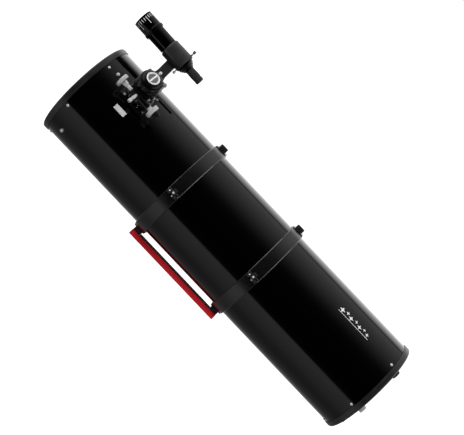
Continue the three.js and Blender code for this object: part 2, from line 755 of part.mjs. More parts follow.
function buildRings() {
  for (const [end, x] of [['front', -RING_X], ['rear', RING_X]]) {
    const group = clockGroup(90);
    group.position.x = x;
    place(group, `ring_lower_${end}`, ringHalf(-1), 'satin_black');
    place(group, `ring_upper_${end}`, ringHalf(1), 'satin_black');

    const pin = alongX(rod(HINGE_PIN_R, -17.5, 17.5, 10)).translate(0, -HINGE_Y, 0);
    place(group, `hinge_pin_${end}`, pin, 'silver');

    // Captive clamp screw: it lifts away with the upper half once it is undone.
    const clampScrew = turned([
      [0, -LUG_HEIGHT + 1],
      [3, -LUG_HEIGHT + 1],
      [3, LUG_HEIGHT + GAP],
      [6, LUG_HEIGHT + GAP],
      [6, LUG_HEIGHT + 3],
      [10, LUG_HEIGHT + 4],
      [10, LUG_HEIGHT + 15],
      [8.5, LUG_HEIGHT + 16.5],
      [0, LUG_HEIGHT + 16.5],
    ], 12).translate(0, CLAMP_Y, 0);
    place(group, `clamp_screw_${end}`, clampScrew, 'rubber');

    const topKnob = turned([
      [0, PAD_HEIGHT + GAP],
      [TOP_KNOB_R, PAD_HEIGHT + GAP],
      [TOP_KNOB_R, TOP_KNOB_TOP - 1],
      [TOP_KNOB_R - 1, TOP_KNOB_TOP],
      [0, TOP_KNOB_TOP],
    ], 14);
    place(group, `top_knob_${end}`, topKnob, 'rubber');

    const spacer = box(
      -SPACER_HALF_X, SPACER_HALF_X, -SPACER_HALF_Y, SPACER_HALF_Y,
      RAIL_HEIGHT - AXIS_Z + GAP, -PAD_HEIGHT - GAP,
    );
    place(group, `spacer_${end}`, spacer, 'satin_black');
  }
}

function buildRail() {
  const outline = [
    [-RAIL_HALF_WIDTH, 0],
    [RAIL_HALF_WIDTH, 0],
    [RAIL_HALF_WIDTH, 3],
    [RAIL_TOP_HALF_WIDTH, RAIL_HEIGHT],
    [-RAIL_TOP_HALF_WIDTH, RAIL_HEIGHT],
    [-RAIL_HALF_WIDTH, 3],
  ];
  place(assembly, 'dovetail_rail', prismX(outline, -RAIL_HALF_LENGTH, RAIL_HALF_LENGTH), 'red');
}

function buildLabel() {
  const label = roundedPlate(17.7, 6.8, 1.5, TUBE_R + GAP, TUBE_R + 1).translate(-392, 0, 0);
  place(clockGroup(17.7), 'label_plate', label, 'silver');
}

buildTube();
buildSpider();
buildSecondary();
buildPrimary();
buildAdjusters();
buildFocuser();
buildFinder();
buildRings();
buildRail();
buildLabel();

export default assembly;
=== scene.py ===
"""Looks for a 10 inch Newtonian reflector's tube assembly: smooth turned parts, knurled knobs, springs,
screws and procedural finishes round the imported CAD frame.

Lengths in the tables below are millimetres and become metres when a mesh is made. The tube's axis
runs along X at a height AXIS_Z. A clock angle is measured about that axis from -Y towards +Z, and a
part on the tube is made in its own clock frame: x along the tube, z outwards, y completing the frame.
"""
import math

import bmesh
import bpy
from mathutils import Matrix, Vector


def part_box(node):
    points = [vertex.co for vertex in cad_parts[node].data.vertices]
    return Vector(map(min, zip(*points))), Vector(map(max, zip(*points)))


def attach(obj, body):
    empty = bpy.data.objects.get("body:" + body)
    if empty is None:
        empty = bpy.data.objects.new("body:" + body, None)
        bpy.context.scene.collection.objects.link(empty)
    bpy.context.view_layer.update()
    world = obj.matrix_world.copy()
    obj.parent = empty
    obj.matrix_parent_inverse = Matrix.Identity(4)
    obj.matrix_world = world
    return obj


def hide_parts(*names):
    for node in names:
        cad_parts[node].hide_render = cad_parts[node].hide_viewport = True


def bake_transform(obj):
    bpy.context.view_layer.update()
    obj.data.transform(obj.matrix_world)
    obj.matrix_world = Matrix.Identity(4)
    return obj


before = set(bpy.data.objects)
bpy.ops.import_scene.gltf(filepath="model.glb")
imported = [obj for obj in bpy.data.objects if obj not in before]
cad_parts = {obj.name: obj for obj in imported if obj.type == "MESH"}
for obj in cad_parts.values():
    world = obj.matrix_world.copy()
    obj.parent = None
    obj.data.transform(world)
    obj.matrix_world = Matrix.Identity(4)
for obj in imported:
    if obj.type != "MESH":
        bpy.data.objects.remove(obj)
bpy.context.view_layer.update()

MM = 0.001
DEG = math.pi / 180


def centre_mm(node):
    """The middle of a CAD node's box, in millimetres."""
    low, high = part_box(node)
    return (Vector(low) + Vector(high)) * 0.5 / MM


def size_mm(node):
    """The three sides of a CAD node's box, in millimetres."""
    low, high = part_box(node)
    return (Vector(high) - Vector(low)) / MM


# ---------- Places, read from the frame ----------

AXIS_Z = centre_mm("front_ring").z
TUBE_R = size_mm("tube").z / 2
FRONT_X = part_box("front_ring")[0][0] / MM
REAR_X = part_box("rear_ring")[1][0] / MM
END_RING_R = size_mm("front_ring").z / 2
END_RING_WIDTH = size_mm("front_ring").x
RING_X = centre_mm("ring_upper_rear").x
RING_WIDTH = size_mm("ring_upper_rear").x
SPIDER_X = centre_mm("spider").x
FOCUS_X = centre_mm("eyepiece_adapter").x
LABEL_X = centre_mm("label_plate").x

# Sizes of the CAD solids that a box can't give
TUBE_WALL = 1.2
FOCUS_CLOCK = 43
FINDER_CLOCK = 87.5
LABEL_CLOCK = 17.7
FINDER_Z = 237.6
FINDER_TILT = 1.45
FINDER_PIVOT = -432.5
RING_R = 151
PAD_TOP = 151.5
HINGE_Y = 156.5
CLAMP_Y = 161
EDGE = 1.3                        # chamfer along both edges of each ring
LUG_HEIGHT = 13
SHAFT_Y = -36
SHAFT_Z = 191
STEM_X = -402
SHIELD_FRONT = -540.5
SHIELD_REAR = -489.5
SLEEVE_FRONT = -437
SLEEVE_REAR = -374.8
SLEEVE_R = 28
POINTING_X = -380
COLLIMATION_R = 106
COLLIMATION_CLOCK = 51
LOCK_CLOCK = 339
PRIMARY_R = 127
WELD = 0.00001                    # points closer than this are joined, in metres


# ---------- Frames ----------

def clock_frame(clock, x=0.0):
    """Matrix of the frame at a clock angle on the tube: z outwards, origin on the tube's axis."""
    tilt = Matrix.Rotation(math.pi / 2 - clock * DEG, 4, "X")
    return Matrix.Translation((x, 0, AXIS_Z)) @ tilt


def shift(x, y, z):
    return Matrix.Translation((x, y, z))


def turn(axis, degrees):
    return Matrix.Rotation(degrees * DEG, 4, axis)


ALONG_X = Matrix.Rotation(math.pi / 2, 4, "Y")
FOCUSER = clock_frame(FOCUS_CLOCK, FOCUS_X)
FINDER = clock_frame(FINDER_CLOCK) @ shift(0, 0, FINDER_Z)
SCOPE = FINDER @ shift(FINDER_PIVOT, 0, 0) @ turn("Y", FINDER_TILT) @ shift(-FINDER_PIVOT, 0, 0)
AXIS = clock_frame(90)


# ---------- Shader nodes ----------

class Nodes:
    """A node tree and short ways to add to it."""

    def __init__(self, tree):
        self.tree = tree

    def add(self, kind, **values):
        """New node. Each value sets a property of the node or the default of one of its sockets."""
        made = self.tree.nodes.new("ShaderNode" + kind)
        for key, value in values.items():
            if key in made.bl_rna.properties:
                setattr(made, key, value)
            else:
                made.inputs[key.replace("_", " ")].default_value = value
        return made

    def link(self, source, target):
        self.tree.links.new(source, target)

    def math(self, operation, *values):
        """Result of a maths node on sockets or numbers."""
        made = self.add("Math", operation=operation)
        for socket, value in zip(made.inputs, values):
            if isinstance(value, (int, float)):
                socket.default_value = value
            else:
                self.link(value, socket)
        return made.outputs[0]

    def remap(self, value, low, high, start=0.3, end=0.7):
        made = self.add("MapRange", From_Min=start, From_Max=end, To_Min=low, To_Max=high)
        self.link(value, made.inputs["Value"])
        return made.outputs["Result"]

    def noise(self, scale, detail=4, stretch=(1, 1, 1)):
        mapping = self.add("Mapping", Scale=stretch)
        self.link(self.add("TexCoord").outputs["Object"], mapping.inputs["Vector"])
        made = self.add("TexNoise", Scale=scale, Detail=detail)
        self.link(mapping.outputs["Vector"], made.inputs["Vector"])
        return made.outputs["Fac"]


# ---------- Finishes ----------

def make_finish(name, color, roughness, metallic=0, colors=None, rough=None, bump=None, **sockets):
    """Principled material. colors is two colours, rough is two roughnesses and bump is a strength and a
    depth in metres. The first two end with the noise between them, as its scale, detail and stretch,
    and bump with one such noise or more, added together."""
    material = bpy.data.materials.new(name)
    material.use_nodes = True
    nodes = Nodes(material.node_tree)
    shader = nodes.tree.nodes["Principled BSDF"]
    sockets |= {"Base_Color": (*color, 1), "Roughness": roughness, "Metallic": metallic}
    for socket, value in sockets.items():
        shader.inputs[socket.replace("_", " ")].default_value = value
    if rough:
        low, high, *noise = rough
        nodes.link(nodes.remap(nodes.noise(*noise), low, high), shader.inputs["Roughness"])
    if colors:
        first, second, *noise = colors
        mix = nodes.add("Mix", data_type="RGBA")
        mix.inputs["A"].default_value = (*first, 1)
        mix.inputs["B"].default_value = (*second, 1)
        nodes.link(nodes.remap(nodes.noise(*noise), 0, 1), mix.inputs["Factor"])
        nodes.link(mix.outputs["Result"], shader.inputs["Base Color"])
    if bump:
        strength, depth, *grains = bump
        heights = [nodes.noise(*grain) for grain in grains]
        total = heights[0]
        for height in heights[1:]:
            total = nodes.math("ADD", total, height)
        made = nodes.add("Bump", Strength=strength, Distance=depth)
        nodes.link(total, made.inputs["Height"])
        nodes.link(made.outputs["Normal"], shader.inputs["Normal"])
    return material


# Each finish with the record slot that it belongs to.
FINISHES = {
    "gloss_enamel": ("tube_gloss", dict(
        color=(0.0005, 0.0005, 0.0006), roughness=0.06,
        rough=(0.05, 0.10, 9), bump=(0.03, 0.0004, (55, 2)),
    )),
    "powder_coat": ("end_casting", dict(
        color=(0.010, 0.010, 0.011), roughness=0.36, Specular_IOR_Level=0.8,
        colors=((0.007, 0.007, 0.008), (0.014, 0.014, 0.015), 60),
        rough=(0.30, 0.42, 300), bump=(0.35, 0.0003, (1400, 2), (500, 2)),
    )),
    "satin_black": ("satin_black", dict(
        color=(0.022, 0.022, 0.023), roughness=0.4,
        rough=(0.34, 0.46, 120), bump=(0.12, 0.0002, (2200, 2)),
    )),
    "ring_anodised": ("ring_black", dict(
        color=(0.004, 0.004, 0.0045), roughness=0.27, Specular_IOR_Level=0.8,
        colors=((0.0035, 0.0035, 0.004), (0.005, 0.005, 0.0055), 25),
        rough=(0.22, 0.32, 90), bump=(0.15, 0.0002, (1800, 2)),
    )),
    "focuser_anodised": ("focuser_black", dict(
        color=(0.0025, 0.0025, 0.003), roughness=0.16,
        rough=(0.11, 0.20, 150), bump=(0.08, 0.0002, (2500, 2)),
    )),
    "bracket_paint": ("satin_black", dict(
        color=(0.022, 0.022, 0.023), roughness=0.28, Specular_IOR_Level=0.8,
        colors=((0.019, 0.019, 0.020), (0.027, 0.027, 0.028), 40),
        rough=(0.27, 0.38, 110), bump=(0.12, 0.0002, (1900, 2)),
    )),
    "white_metal": ("bright_metal", dict(
        color=(0.92, 0.92, 0.91), roughness=0.3, metallic=0.3,
        rough=(0.24, 0.36, 220), bump=(0.05, 0.0001, (2600, 2)),
    )),
    # Bright metal on the front part of the upper rings' chamfers: a painted highlight.
    "painted_highlight_edge": ("ring_black", dict(
        color=(0.3, 0.3, 0.3), roughness=0.36, metallic=1, rough=(0.32, 0.42, 160),
    )),
    "nickel": ("bright_metal", dict(
        color=(0.78, 0.78, 0.79), roughness=0.2, metallic=1,
        rough=(0.14, 0.28, 200), bump=(0.05, 0.0001, (3000, 2)),
    )),
    "silver_knob": ("silver_knob", dict(
        color=(0.74, 0.74, 0.73), roughness=0.34, metallic=0.55,
        colors=((0.70, 0.70, 0.69), (0.80, 0.80, 0.79), 80),
        rough=(0.28, 0.42, 240), bump=(0.08, 0.0001, (2600, 2)),
    )),
    "mirror_coating": ("mirror_coating", dict(
        color=(0.92, 0.93, 0.94), roughness=0.015, metallic=1, rough=(0.010, 0.03, 30),
    )),
    "ground_glass": ("mirror_coating", dict(
        color=(0.34, 0.37, 0.36), roughness=0.55,
        colors=((0.30, 0.34, 0.33), (0.40, 0.43, 0.42), 70), bump=(0.2, 0.0002, (1800, 2)),
    )),
    "lens_glass": ("lens_glass", dict(
        color=(0.02, 0.025, 0.05), roughness=0.02, Transmission_Weight=0.35, Coat_Weight=1,
        Coat_Tint=(0.55, 0.6, 1.0, 1), rough=(0.01, 0.04, 40),
    )),
    "rubber": ("rubber", dict(
        color=(0.012, 0.012, 0.012), roughness=0.75,
        rough=(0.65, 0.85, 160), bump=(0.2, 0.0002, (900, 3)),
    )),
    "knob_plastic": ("knob_plastic", dict(
        color=(0.012, 0.012, 0.013), roughness=0.48,
        rough=(0.40, 0.56, 140), bump=(0.15, 0.0002, (1500, 2)),
    )),
    # The rail and the label have grain along their length.
    "red_anodised": ("red_anodised", dict(
        color=(0.80, 0.024, 0.034), roughness=0.36,
        colors=((0.76, 0.022, 0.031), (0.84, 0.027, 0.038), 14, 4, (0.15, 1, 1)),
        rough=(0.28, 0.42, 220, 4, (0.06, 1, 1)), bump=(0.10, 0.0002, (900, 2, (0.02, 1, 1))),
    )),
    "label_foil": ("label_silver", dict(
        color=(0.72, 0.72, 0.71), roughness=0.35, metallic=0.3,
        rough=(0.28, 0.42, 260, 4, (0.1, 1, 1)), bump=(0.06, 0.0001, (1200, 2, (0.05, 1, 1))),
    )),
    "white_print": ("label_silver", dict(
        color=(0.82, 0.82, 0.82), roughness=0.4, colors=((0.78, 0.78, 0.78), (0.86, 0.86, 0.86), 300),
    )),
    "felt": ("rubber", dict(
        color=(0.006, 0.006, 0.0065), roughness=0.95, Specular_IOR_Level=0.1,
        colors=((0.005, 0.005, 0.005), (0.010, 0.010, 0.011), 800), bump=(0.6, 0.0004, (2400, 4)),
    )),
    "flocked_black": ("satin_black", dict(
        color=(0.006, 0.006, 0.006), roughness=0.85,
        rough=(0.78, 0.92, 200), bump=(0.3, 0.0003, (1600, 3)),
    )),
    "spring_steel": ("bright_metal", dict(
        color=(0.42, 0.42, 0.43), roughness=0.3, metallic=1, rough=(0.24, 0.38, 400),
    )),
}
FINISH = {name: make_finish(name, **looks) for name, (slot, looks) in FINISHES.items()}


# ---------- Mesh building ----------

SHARP_ANGLE = 32 * DEG


def circle(radius, sides):
    """[x, y] points round a circle."""
    angles = [2 * math.pi * k / sides for k in range(sides)]
    return [(radius * math.cos(a), radius * math.sin(a)) for a in angles]


def wall(count, first=0):
    """Faces between a loop of count points and the loop that follows it."""
    pairs = [(first + k, first + (k + 1) % count) for k in range(count)]
    return [[a, b, count + b, count + a] for a, b in pairs]


class Build:
    """Collects solids into one mesh. Each is added through a matrix, in millimetres."""

    def __init__(self):
        self.mesh = bmesh.new()
        self.slots = []

    def add(self, points, faces, matrix, finish):
        if finish not in self.slots:
            self.slots.append(finish)
        index = self.slots.index(finish)
        made = [self.mesh.verts.new(matrix @ Vector(p) * MM) for p in points]
        for face in faces:
            corners = list(dict.fromkeys(made[i] for i in face))
            if len(corners) > 2:
                self.mesh.faces.new(corners).material_index = index

    def turned(self, profile, matrix, finish, sides=64, ribs=0, rib_depth=0.0):
        """Solid of revolution about z from [radius, z] or [radius, z, ribbed] points. A profile whose
        last point repeats its first is a ring; otherwise both of its ends lie on the axis."""
        if ribs:
            sides = ribs * 4
        unit = circle(1, sides)
        closed = profile[0][:2] == profile[-1][:2]
        points, rings = [], []
        for radius, z, *ribbed in profile[:-1] if closed else profile:
            if radius == 0:
                rings.append([len(points)] * sides)
                points.append((0, 0, z))
                continue
            rings.append(range(len(points), len(points) + sides))
            for k, (x, y) in enumerate(unit):
                r = radius - (rib_depth if ribbed and k % 4 >= 2 else 0)
                points.append((r * x, r * y, z))
        faces = []
        for low, high in zip(rings, rings[1:] + rings[:1] if closed else rings[1:]):
            for k in range(sides):
                j = (k + 1) % sides
                faces.append([low[k], low[j], high[j], high[k]])
        self.add(points, faces, matrix, finish)

    def rod(self, radius, z0, z1, matrix, finish, sides=24):
        self.turned([(0, z0), (radius, z0), (radius, z1), (0, z1)], matrix, finish, sides)

    def prism(self, outline, z0, z1, matrix, finish):
        """Prism of an [x, y] outline from z0 to z1."""
        count = len(outline)
        points = [(x, y, z) for z in (z0, z1) for x, y in outline]
        ends = [list(range(count))[::-1], list(range(count, 2 * count))]
        self.add(points, ends + wall(count), matrix, finish)

    def block(self, x0, x1, y0, y1, z0, z1, matrix, finish):
        self.prism([(x0, y0), (x1, y0), (x1, y1), (x0, y1)], z0, z1, matrix, finish)

    def sweep(self, path, radius, matrix, finish, sides=8):
        """Round wire along a path of points, closed by flat ends."""
        points, faces = [], []
        route = [Vector(p) for p in path]
        last = len(route) - 1
        side = (route[1] - route[0]).orthogonal()
        for k, here in enumerate(route):
            ahead = (route[min(k + 1, last)] - route[max(k - 1, 0)]).normalized()
            side = (side - ahead * side.dot(ahead)).normalized()
            other = ahead.cross(side)
            points += [here + x * side + y * other for x, y in circle(radius, sides)]
            if k < last:
                faces += wall(sides, k * sides)
        ends = [list(range(sides))[::-1], [last * sides + j for j in range(sides)]]
        self.add(points, faces + ends, matrix, finish)

    def piece(self, name, body, replaced=(), bevel=0.0, segments=2):
        """Turns what was added into an object that rides on a body, if one is named."""
        bmesh.ops.recalc_face_normals(self.mesh, faces=self.mesh.faces)
        data = bpy.data.meshes.new(name)
        self.mesh.to_mesh(data)
        self.mesh.free()
        for finish in self.slots:
            data.materials.append(FINISH[finish])
        made = bpy.data.objects.new(name, data)
        bpy.context.collection.objects.link(made)
        if bevel:
            round_edges(made, bevel, segments)
        shade(made)
        if body:
            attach(made, body)
        if replaced:
            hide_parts(*replaced)
        return made


def turned_piece(name, body, node, profile, matrix, finish, **shape):
    """Piece that is one solid of revolution and stands for one CAD node."""
    build = Build()
    build.turned(profile, matrix, finish, **shape)
    build.piece(name, body, [node])


def round_edges(made, width, segments=2):
    modifier = made.modifiers.new("edges", "BEVEL")
    modifier.width = width * MM
    modifier.segments = segments
    modifier.limit_method = "ANGLE"
    modifier.angle_limit = 40 * DEG


def shade(made):
    """Smooth shading with sharp edges where faces meet at more than SHARP_ANGLE."""
    work = bmesh.new()
    work.from_mesh(made.data)
    for face in work.faces:
        face.smooth = True
    for edge in work.edges:
        edge.smooth = len(edge.link_faces) == 2 and edge.calc_face_angle(0) < SHARP_ANGLE
    work.to_mesh(made.data)
    work.free()


def rounded_outline(half_x, half_y, radius, steps=5):
    outline = []
    for sx, sy, start in ((1, 1, 0), (-1, 1, 90), (-1, -1, 180), (1, -1, 270)):
        for k in range(steps + 1):
            angle = (start + 90 * k / steps) * DEG
            x = sx * (half_x - radius) + radius * math.cos(angle)
            y = sy * (half_y - radius) + radius * math.sin(angle)
            outline.append((x, y))
    return outline


def arc(radius, start, end, steps):
    """[y, z] points of an arc between two clock angles."""
    angles = [(start + (end - start) * k / steps) * DEG for k in range(steps + 1)]
    return [(-radius * math.cos(a), radius * math.sin(a)) for a in angles]


# Maps a prism's x, y, z to a frame's y, z, x, so that an outline in y and z runs along x.
ACROSS = Matrix(((0, 0, 1, 0), (1, 0, 0, 0), (0, 1, 0, 0), (0, 0, 0, 1)))


def pan_screw(build, matrix, radius, finish="nickel"):
    """Pan head screw with a cross recess, standing on z = 0."""
    top = radius * 0.62
    build.turned([
        (0, 0), (radius, 0), (radius, top * 0.35), (radius * 0.86, top * 0.75), (radius * 0.5, top), (0, top),
    ], matrix, finish, 24)
    half, thin = radius * 0.5, radius * 0.09
    for degrees in (0, 90):
        mark = matrix @ turn("Z", degrees)
        build.block(-half, half, -thin, thin, top * 0.9, top * 1.03, mark, "flocked_black")


def socket_screw(build, matrix, radius, height):
    """Socket cap screw with a recess, standing on z = 0."""
    inner, floor = radius * 0.5, height * 0.45
    build.turned([
        (0, 0), (radius, 0), (radius, height - 0.4), (radius - 0.4, height), (inner, height), (inner, floor),
        (0, floor),
    ], matrix, "nickel", 24)


def thumbscrew(build, matrix, head_r, head, neck, shank_r, shank, ribs=22):
    """Knurled thumbscrew standing on z = 0, with its shank below."""
    neck_r, top = 0.6 * head_r, neck + head
    build.turned([
        (0, 0), (neck_r, 0), (neck_r, neck * 0.35), (neck_r * 0.8, neck * 0.45), (neck_r * 0.8, neck),
        (head_r - 0.5, neck), (head_r, neck + 0.5, True), (head_r, top - 0.7, True), (head_r - 0.7, top),
        (head_r * 0.55, top), (head_r * 0.5, top - 0.5), (0, top - 0.5),
    ], matrix, "nickel", ribs=ribs, rib_depth=0.35)
    build.rod(shank_r, -shank, 0.1, matrix, "nickel", 16)


# ---------- Tube, end rings and their screws ----------

RIM = 3.0
SCREW_CLOCK = 42


def make_tube():
    build = Build()
    front, rear = FRONT_X + RIM + 0.3, REAR_X - RIM - 0.3
    bore = TUBE_R - TUBE_WALL
    # Outer skin in short lengths. The focuser's plate covers the place of its hole.
    steps = 24
    outside = [(TUBE_R, front + (rear - front) * k / steps) for k in range(steps + 1)]
    build.turned([(bore, front), *outside, (bore, rear), (bore, front)], AXIS @ ALONG_X, "gloss_enamel", 192)
    tube = build.piece("tube_shell", "tube", ["tube"])
    # The inside face is flat black.
    tube.data.materials.append(FINISH["flocked_black"])
    for face in tube.data.polygons:
        middle = Vector(face.center) / MM
        radius = math.hypot(middle.y, middle.z - AXIS_Z)
        if radius < TUBE_R - TUBE_WALL / 2 - 0.3:
            face.material_index = 1


def end_ring_outline(end, inward):
    """Section of a rolled end ring as [radius, x], with a bead round its outer face."""
    lip, bead, depth = 136.5, 6.5, 5.0
    rows = [(lip, RIM), (lip, 0.8), (lip + 0.8, 0), (END_RING_R - bead, 0)]
    for k in range(7):
        angle = k / 6 * math.pi / 2
        rows.append((END_RING_R - bead + bead * math.sin(angle), depth - depth * math.cos(angle)))
    rows += [
        (END_RING_R, END_RING_WIDTH - 3.4), (END_RING_R - 0.5, END_RING_WIDTH - 2.8),
        (END_RING_R - 0.3, END_RING_WIDTH - 1.6), (END_RING_R - 0.9, END_RING_WIDTH),
        (TUBE_R + 0.3, END_RING_WIDTH), (TUBE_R + 0.3, RIM), (lip, RIM),
    ]
    return [(r, end + inward * d) for r, d in rows]


def make_end_rings():
    front = end_ring_outline(FRONT_X, 1)
    turned_piece("front_end_ring", "tube", "front_ring", front, AXIS @ ALONG_X, "powder_coat", sides=160)

    rear = Build()
    rear.turned(end_ring_outline(REAR_X, -1), AXIS @ ALONG_X, "powder_coat", 160)
    # Flange that carries the mirror's cell, with its ribs and bosses.
    rear.turned([
        (88, -7), (137, -7), (137, -1.5), (92, -1.5), (90, -0.6), (88, -1.5), (88, -7),
    ], AXIS @ shift(REAR_X, 0, 0) @ ALONG_X, "powder_coat", 128)
    for k in range(6):
        rib = clock_frame(13 + 60 * k, REAR_X - 1.6)
        rear.block(-0.1, 1.4, -3, 3, 92, 136, rib, "powder_coat")
    for k in range(3):
        for clock in (COLLIMATION_CLOCK + 120 * k, LOCK_CLOCK + 120 * k):
            boss = clock_frame(clock, REAR_X - 1.6) @ shift(0, 0, COLLIMATION_R) @ ALONG_X
            rear.turned([(5, 0), (13.5, 0), (13, 1.2), (5, 1.2), (5, 0)], boss, "powder_coat", 40)
    rear.piece("rear_end_ring", "tube", ["rear_ring"], bevel=0.3)

    screws = Build()
    for k in range(6):
        for x in (FRONT_X + END_RING_WIDTH + 9.5, REAR_X - END_RING_WIDTH - 7):
            spot = clock_frame(SCREW_CLOCK + 60 * k, x) @ shift(0, 0, TUBE_R - 0.2) @ turn("Z", 37 * k)
            pan_screw(screws, spot, 3.6, "white_metal")
    screws.piece("end_ring_screws", "tube")


# ---------- Spider, secondary mirror and their screws ----------

def make_spider():
    build = Build()
    half = size_mm("spider").x / 2
    build.turned([
        (0, -half), (18.5, -half), (21, 2.5 - half), (21, half - 2.5), (18.5, half), (0, half),
    ], AXIS @ shift(SPIDER_X, 0, 0) @ ALONG_X, "satin_black", 64)
    for k in range(4):
        spot = clock_frame(FOCUS_CLOCK + 90 * k, SPIDER_X)
        build.block(-half, half, -0.5, 0.5, 18, TUBE_R - 2.2, spot, "satin_black")
        build.block(-half, half, -7, 7, TUBE_R - 3.7, TUBE_R - 1.9, spot, "satin_black")
        build.block(-4, 4, -2.4, 2.4, 19, 27, spot, "satin_black")
    build.piece("spider_vanes", "tube", ["spider"], bevel=0.3)

    for k in range(4):
        spot = clock_frame(FOCUS_CLOCK + 90 * k, SPIDER_X) @ shift(0, 0, TUBE_R)
        turned_piece(f"vane_nut_{k + 1}", "tube", f"spider_nut_{k + 1}", [
            (0, 0.2), (4.6, 0.2), (4.6, 0.8), (4.2, 1), (4.6, 1.5, True), (4.6, 4.8, True), (4, 5.5),
            (2.4, 5.8), (2, 6.4), (0, 6.5),
        ], spot, "silver_knob", ribs=20, rib_depth=0.25)

    front = SPIDER_X - half
    end = 2 * half + 10
    turned_piece("centre_bolt", "tube", "secondary_bolt", [
        (0, -8), (5.5, -8), (7, -7, True), (7, -1, True), (6, -0.3), (3, -0.3), (3, end), (0, end),
    ], AXIS @ shift(front, 0, 0) @ ALONG_X, "nickel", ribs=18, rib_depth=0.4)

    tilt = Build()
    for k in range(3):
        angle = 120 * k * DEG
        spot = AXIS @ shift(front, 12.5 * math.cos(angle), 12.5 * math.sin(angle)) @ turn("Y", -90)
        socket_screw(tilt, spot, 3.2, 3.2)
    tilt.piece("secondary_tilt_screws", "tube")


def diagonal(radius, behind, sides):
    """Points round a 45 degree cut of a bar about the tube's axis, a distance behind the mirror's face."""
    reach = behind * math.sqrt(2)
    return [(FOCUS_X - z - reach, y, z) for y, z in circle(radius, sides)]


def make_secondary():
    spot = clock_frame(FOCUS_CLOCK)
    sides, radius = 64, 27.5
    holder = Build()
    points = [(SPIDER_X + 17, y, z) for y, z in circle(radius, sides)] + diagonal(radius, 8.3, sides)
    ends = [list(range(sides)), list(range(sides, 2 * sides))]
    holder.add(points, ends + wall(sides), spot, "satin_black")
    holder.piece("secondary_stalk", "secondary", ["secondary_holder"], bevel=0.5)

    mirror = Build()
    sides, radius, bevel, thick = 72, 31.5, 0.6, 8.0
    face = diagonal(radius - bevel, 0, sides)
    body = face + diagonal(radius, bevel, sides) + diagonal(radius, thick, sides)
    mirror.add(face, [list(range(sides))], spot, "mirror_coating")
    back = list(range(2 * sides, 3 * sides))
    mirror.add(body, wall(sides) + wall(sides, sides) + [back], spot, "ground_glass")
    bmesh.ops.remove_doubles(mirror.mesh, verts=mirror.mesh.verts, dist=WELD)
    mirror.piece("diagonal_mirror", "secondary", ["secondary_mirror"])


# ---------- Primary mirror, cell, springs and adjusters ----------

CELL_FRONT = REAR_X - 40
CELL_BACK = REAR_X - 32


def make_primary():
    back = CELL_FRONT - 1.2
    face = back - 36
    sag, rim, steps = 3.2, PRIMARY_R - 1, 24
    shares = [k / steps for k in range(steps, -1, -1)]
    build = Build()
    reflecting = [(rim * share, face + sag * (1 - share ** 2)) for share in shares]
    build.turned(reflecting, AXIS @ ALONG_X, "mirror_coating", 128)
    build.turned(
        [(rim, face), (PRIMARY_R, face + 1), (PRIMARY_R, back - 1), (rim, back), (0, back)],
        AXIS @ ALONG_X, "ground_glass", 128,
    )
    bmesh.ops.remove_doubles(build.mesh, verts=build.mesh.verts, dist=WELD)
    build.piece("primary_glass", "mirror_cell", ["primary_mirror"])

    for k in range(3):
        clip = Build()
        spot = clock_frame(COLLIMATION_CLOCK + 120 * k)
        clip.block(face - 4.5, face - 1.5, -9, 9, PRIMARY_R - 5, PRIMARY_R + 5.8, spot, "satin_black")
        for y in (-5, 5):
            head = spot @ shift(face - 4.5, y, PRIMARY_R + 2.4) @ turn("Y", -90)
            pan_screw(clip, head, 2.2)
        clip.piece(f"edge_clip_{k + 1}", "mirror_cell", [f"mirror_clip_{k + 1}"], bevel=0.5)


def adjuster_frame(clock, x):
    """Frame of a screw in the rear flange, with z to the rear."""
    return clock_frame(clock, x) @ shift(0, 0, COLLIMATION_R) @ ALONG_X


def make_adjusters():
    for k in range(3):
        make_adjuster(f"{k + 1}", COLLIMATION_CLOCK + 120 * k, LOCK_CLOCK + 120 * k)


def make_adjuster(number, clock, lock_clock):
    """Collimation knob, lock screw and spring, which reach forwards from the flange."""
    seat = REAR_X - 1.2
    knob = Build()
    spot = adjuster_frame(clock, seat)
    knob.turned([
        (0, 0), (8, 0), (8, 1.6), (9.5, 2.4), (11.2, 3), (12, 4, True), (12, 11.6, True), (11, 13), (8, 13.5),
        (7.4, 12.8), (0, 12.8),
    ], spot, "knob_plastic", ribs=24, rib_depth=0.7)
    knob.rod(3, CELL_BACK - 3 - seat, 0, spot, "nickel")
    knob.piece(f"collimation_grip_{number}", f"collimation_{number}", [f"collimation_knob_{number}"])

    tip = CELL_BACK + 2.4 - seat
    turned_piece(f"lock_grip_{number}", f"lock_{number}", f"collimation_lock_{number}", [
        (0, tip), (2.5, tip), (2.5, 0), (5, 0), (5, 2), (4.2, 3), (4.2, 6), (9.8, 6), (10.5, 6.6, True),
        (10.5, 14.5, True), (9.7, 15.2), (5, 15.5), (4.6, 15), (0, 15),
    ], adjuster_frame(lock_clock, seat), "white_metal", ribs=30, rib_depth=0.4)

    spring = Build()
    low, high = CELL_BACK + 1.3, REAR_X - 8.3
    turns, radius, steps = 5, 6.5, 20
    path = []
    for step in range(turns * steps + 1):
        angle = 2 * math.pi * step / steps
        x = low + (high - low) * step / (turns * steps)
        path.append((x, radius * math.cos(angle), radius * math.sin(angle)))
    spring.sweep(path, 0.9, clock_frame(clock) @ shift(0, 0, COLLIMATION_R), "spring_steel")
    # A spring's rear end stays with the tube and its front end goes with the tilting cell, so it is left on
    # no body.
    made = spring.piece(f"cell_spring_{number}", None)
    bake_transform(made)


# ---------- Focuser ----------

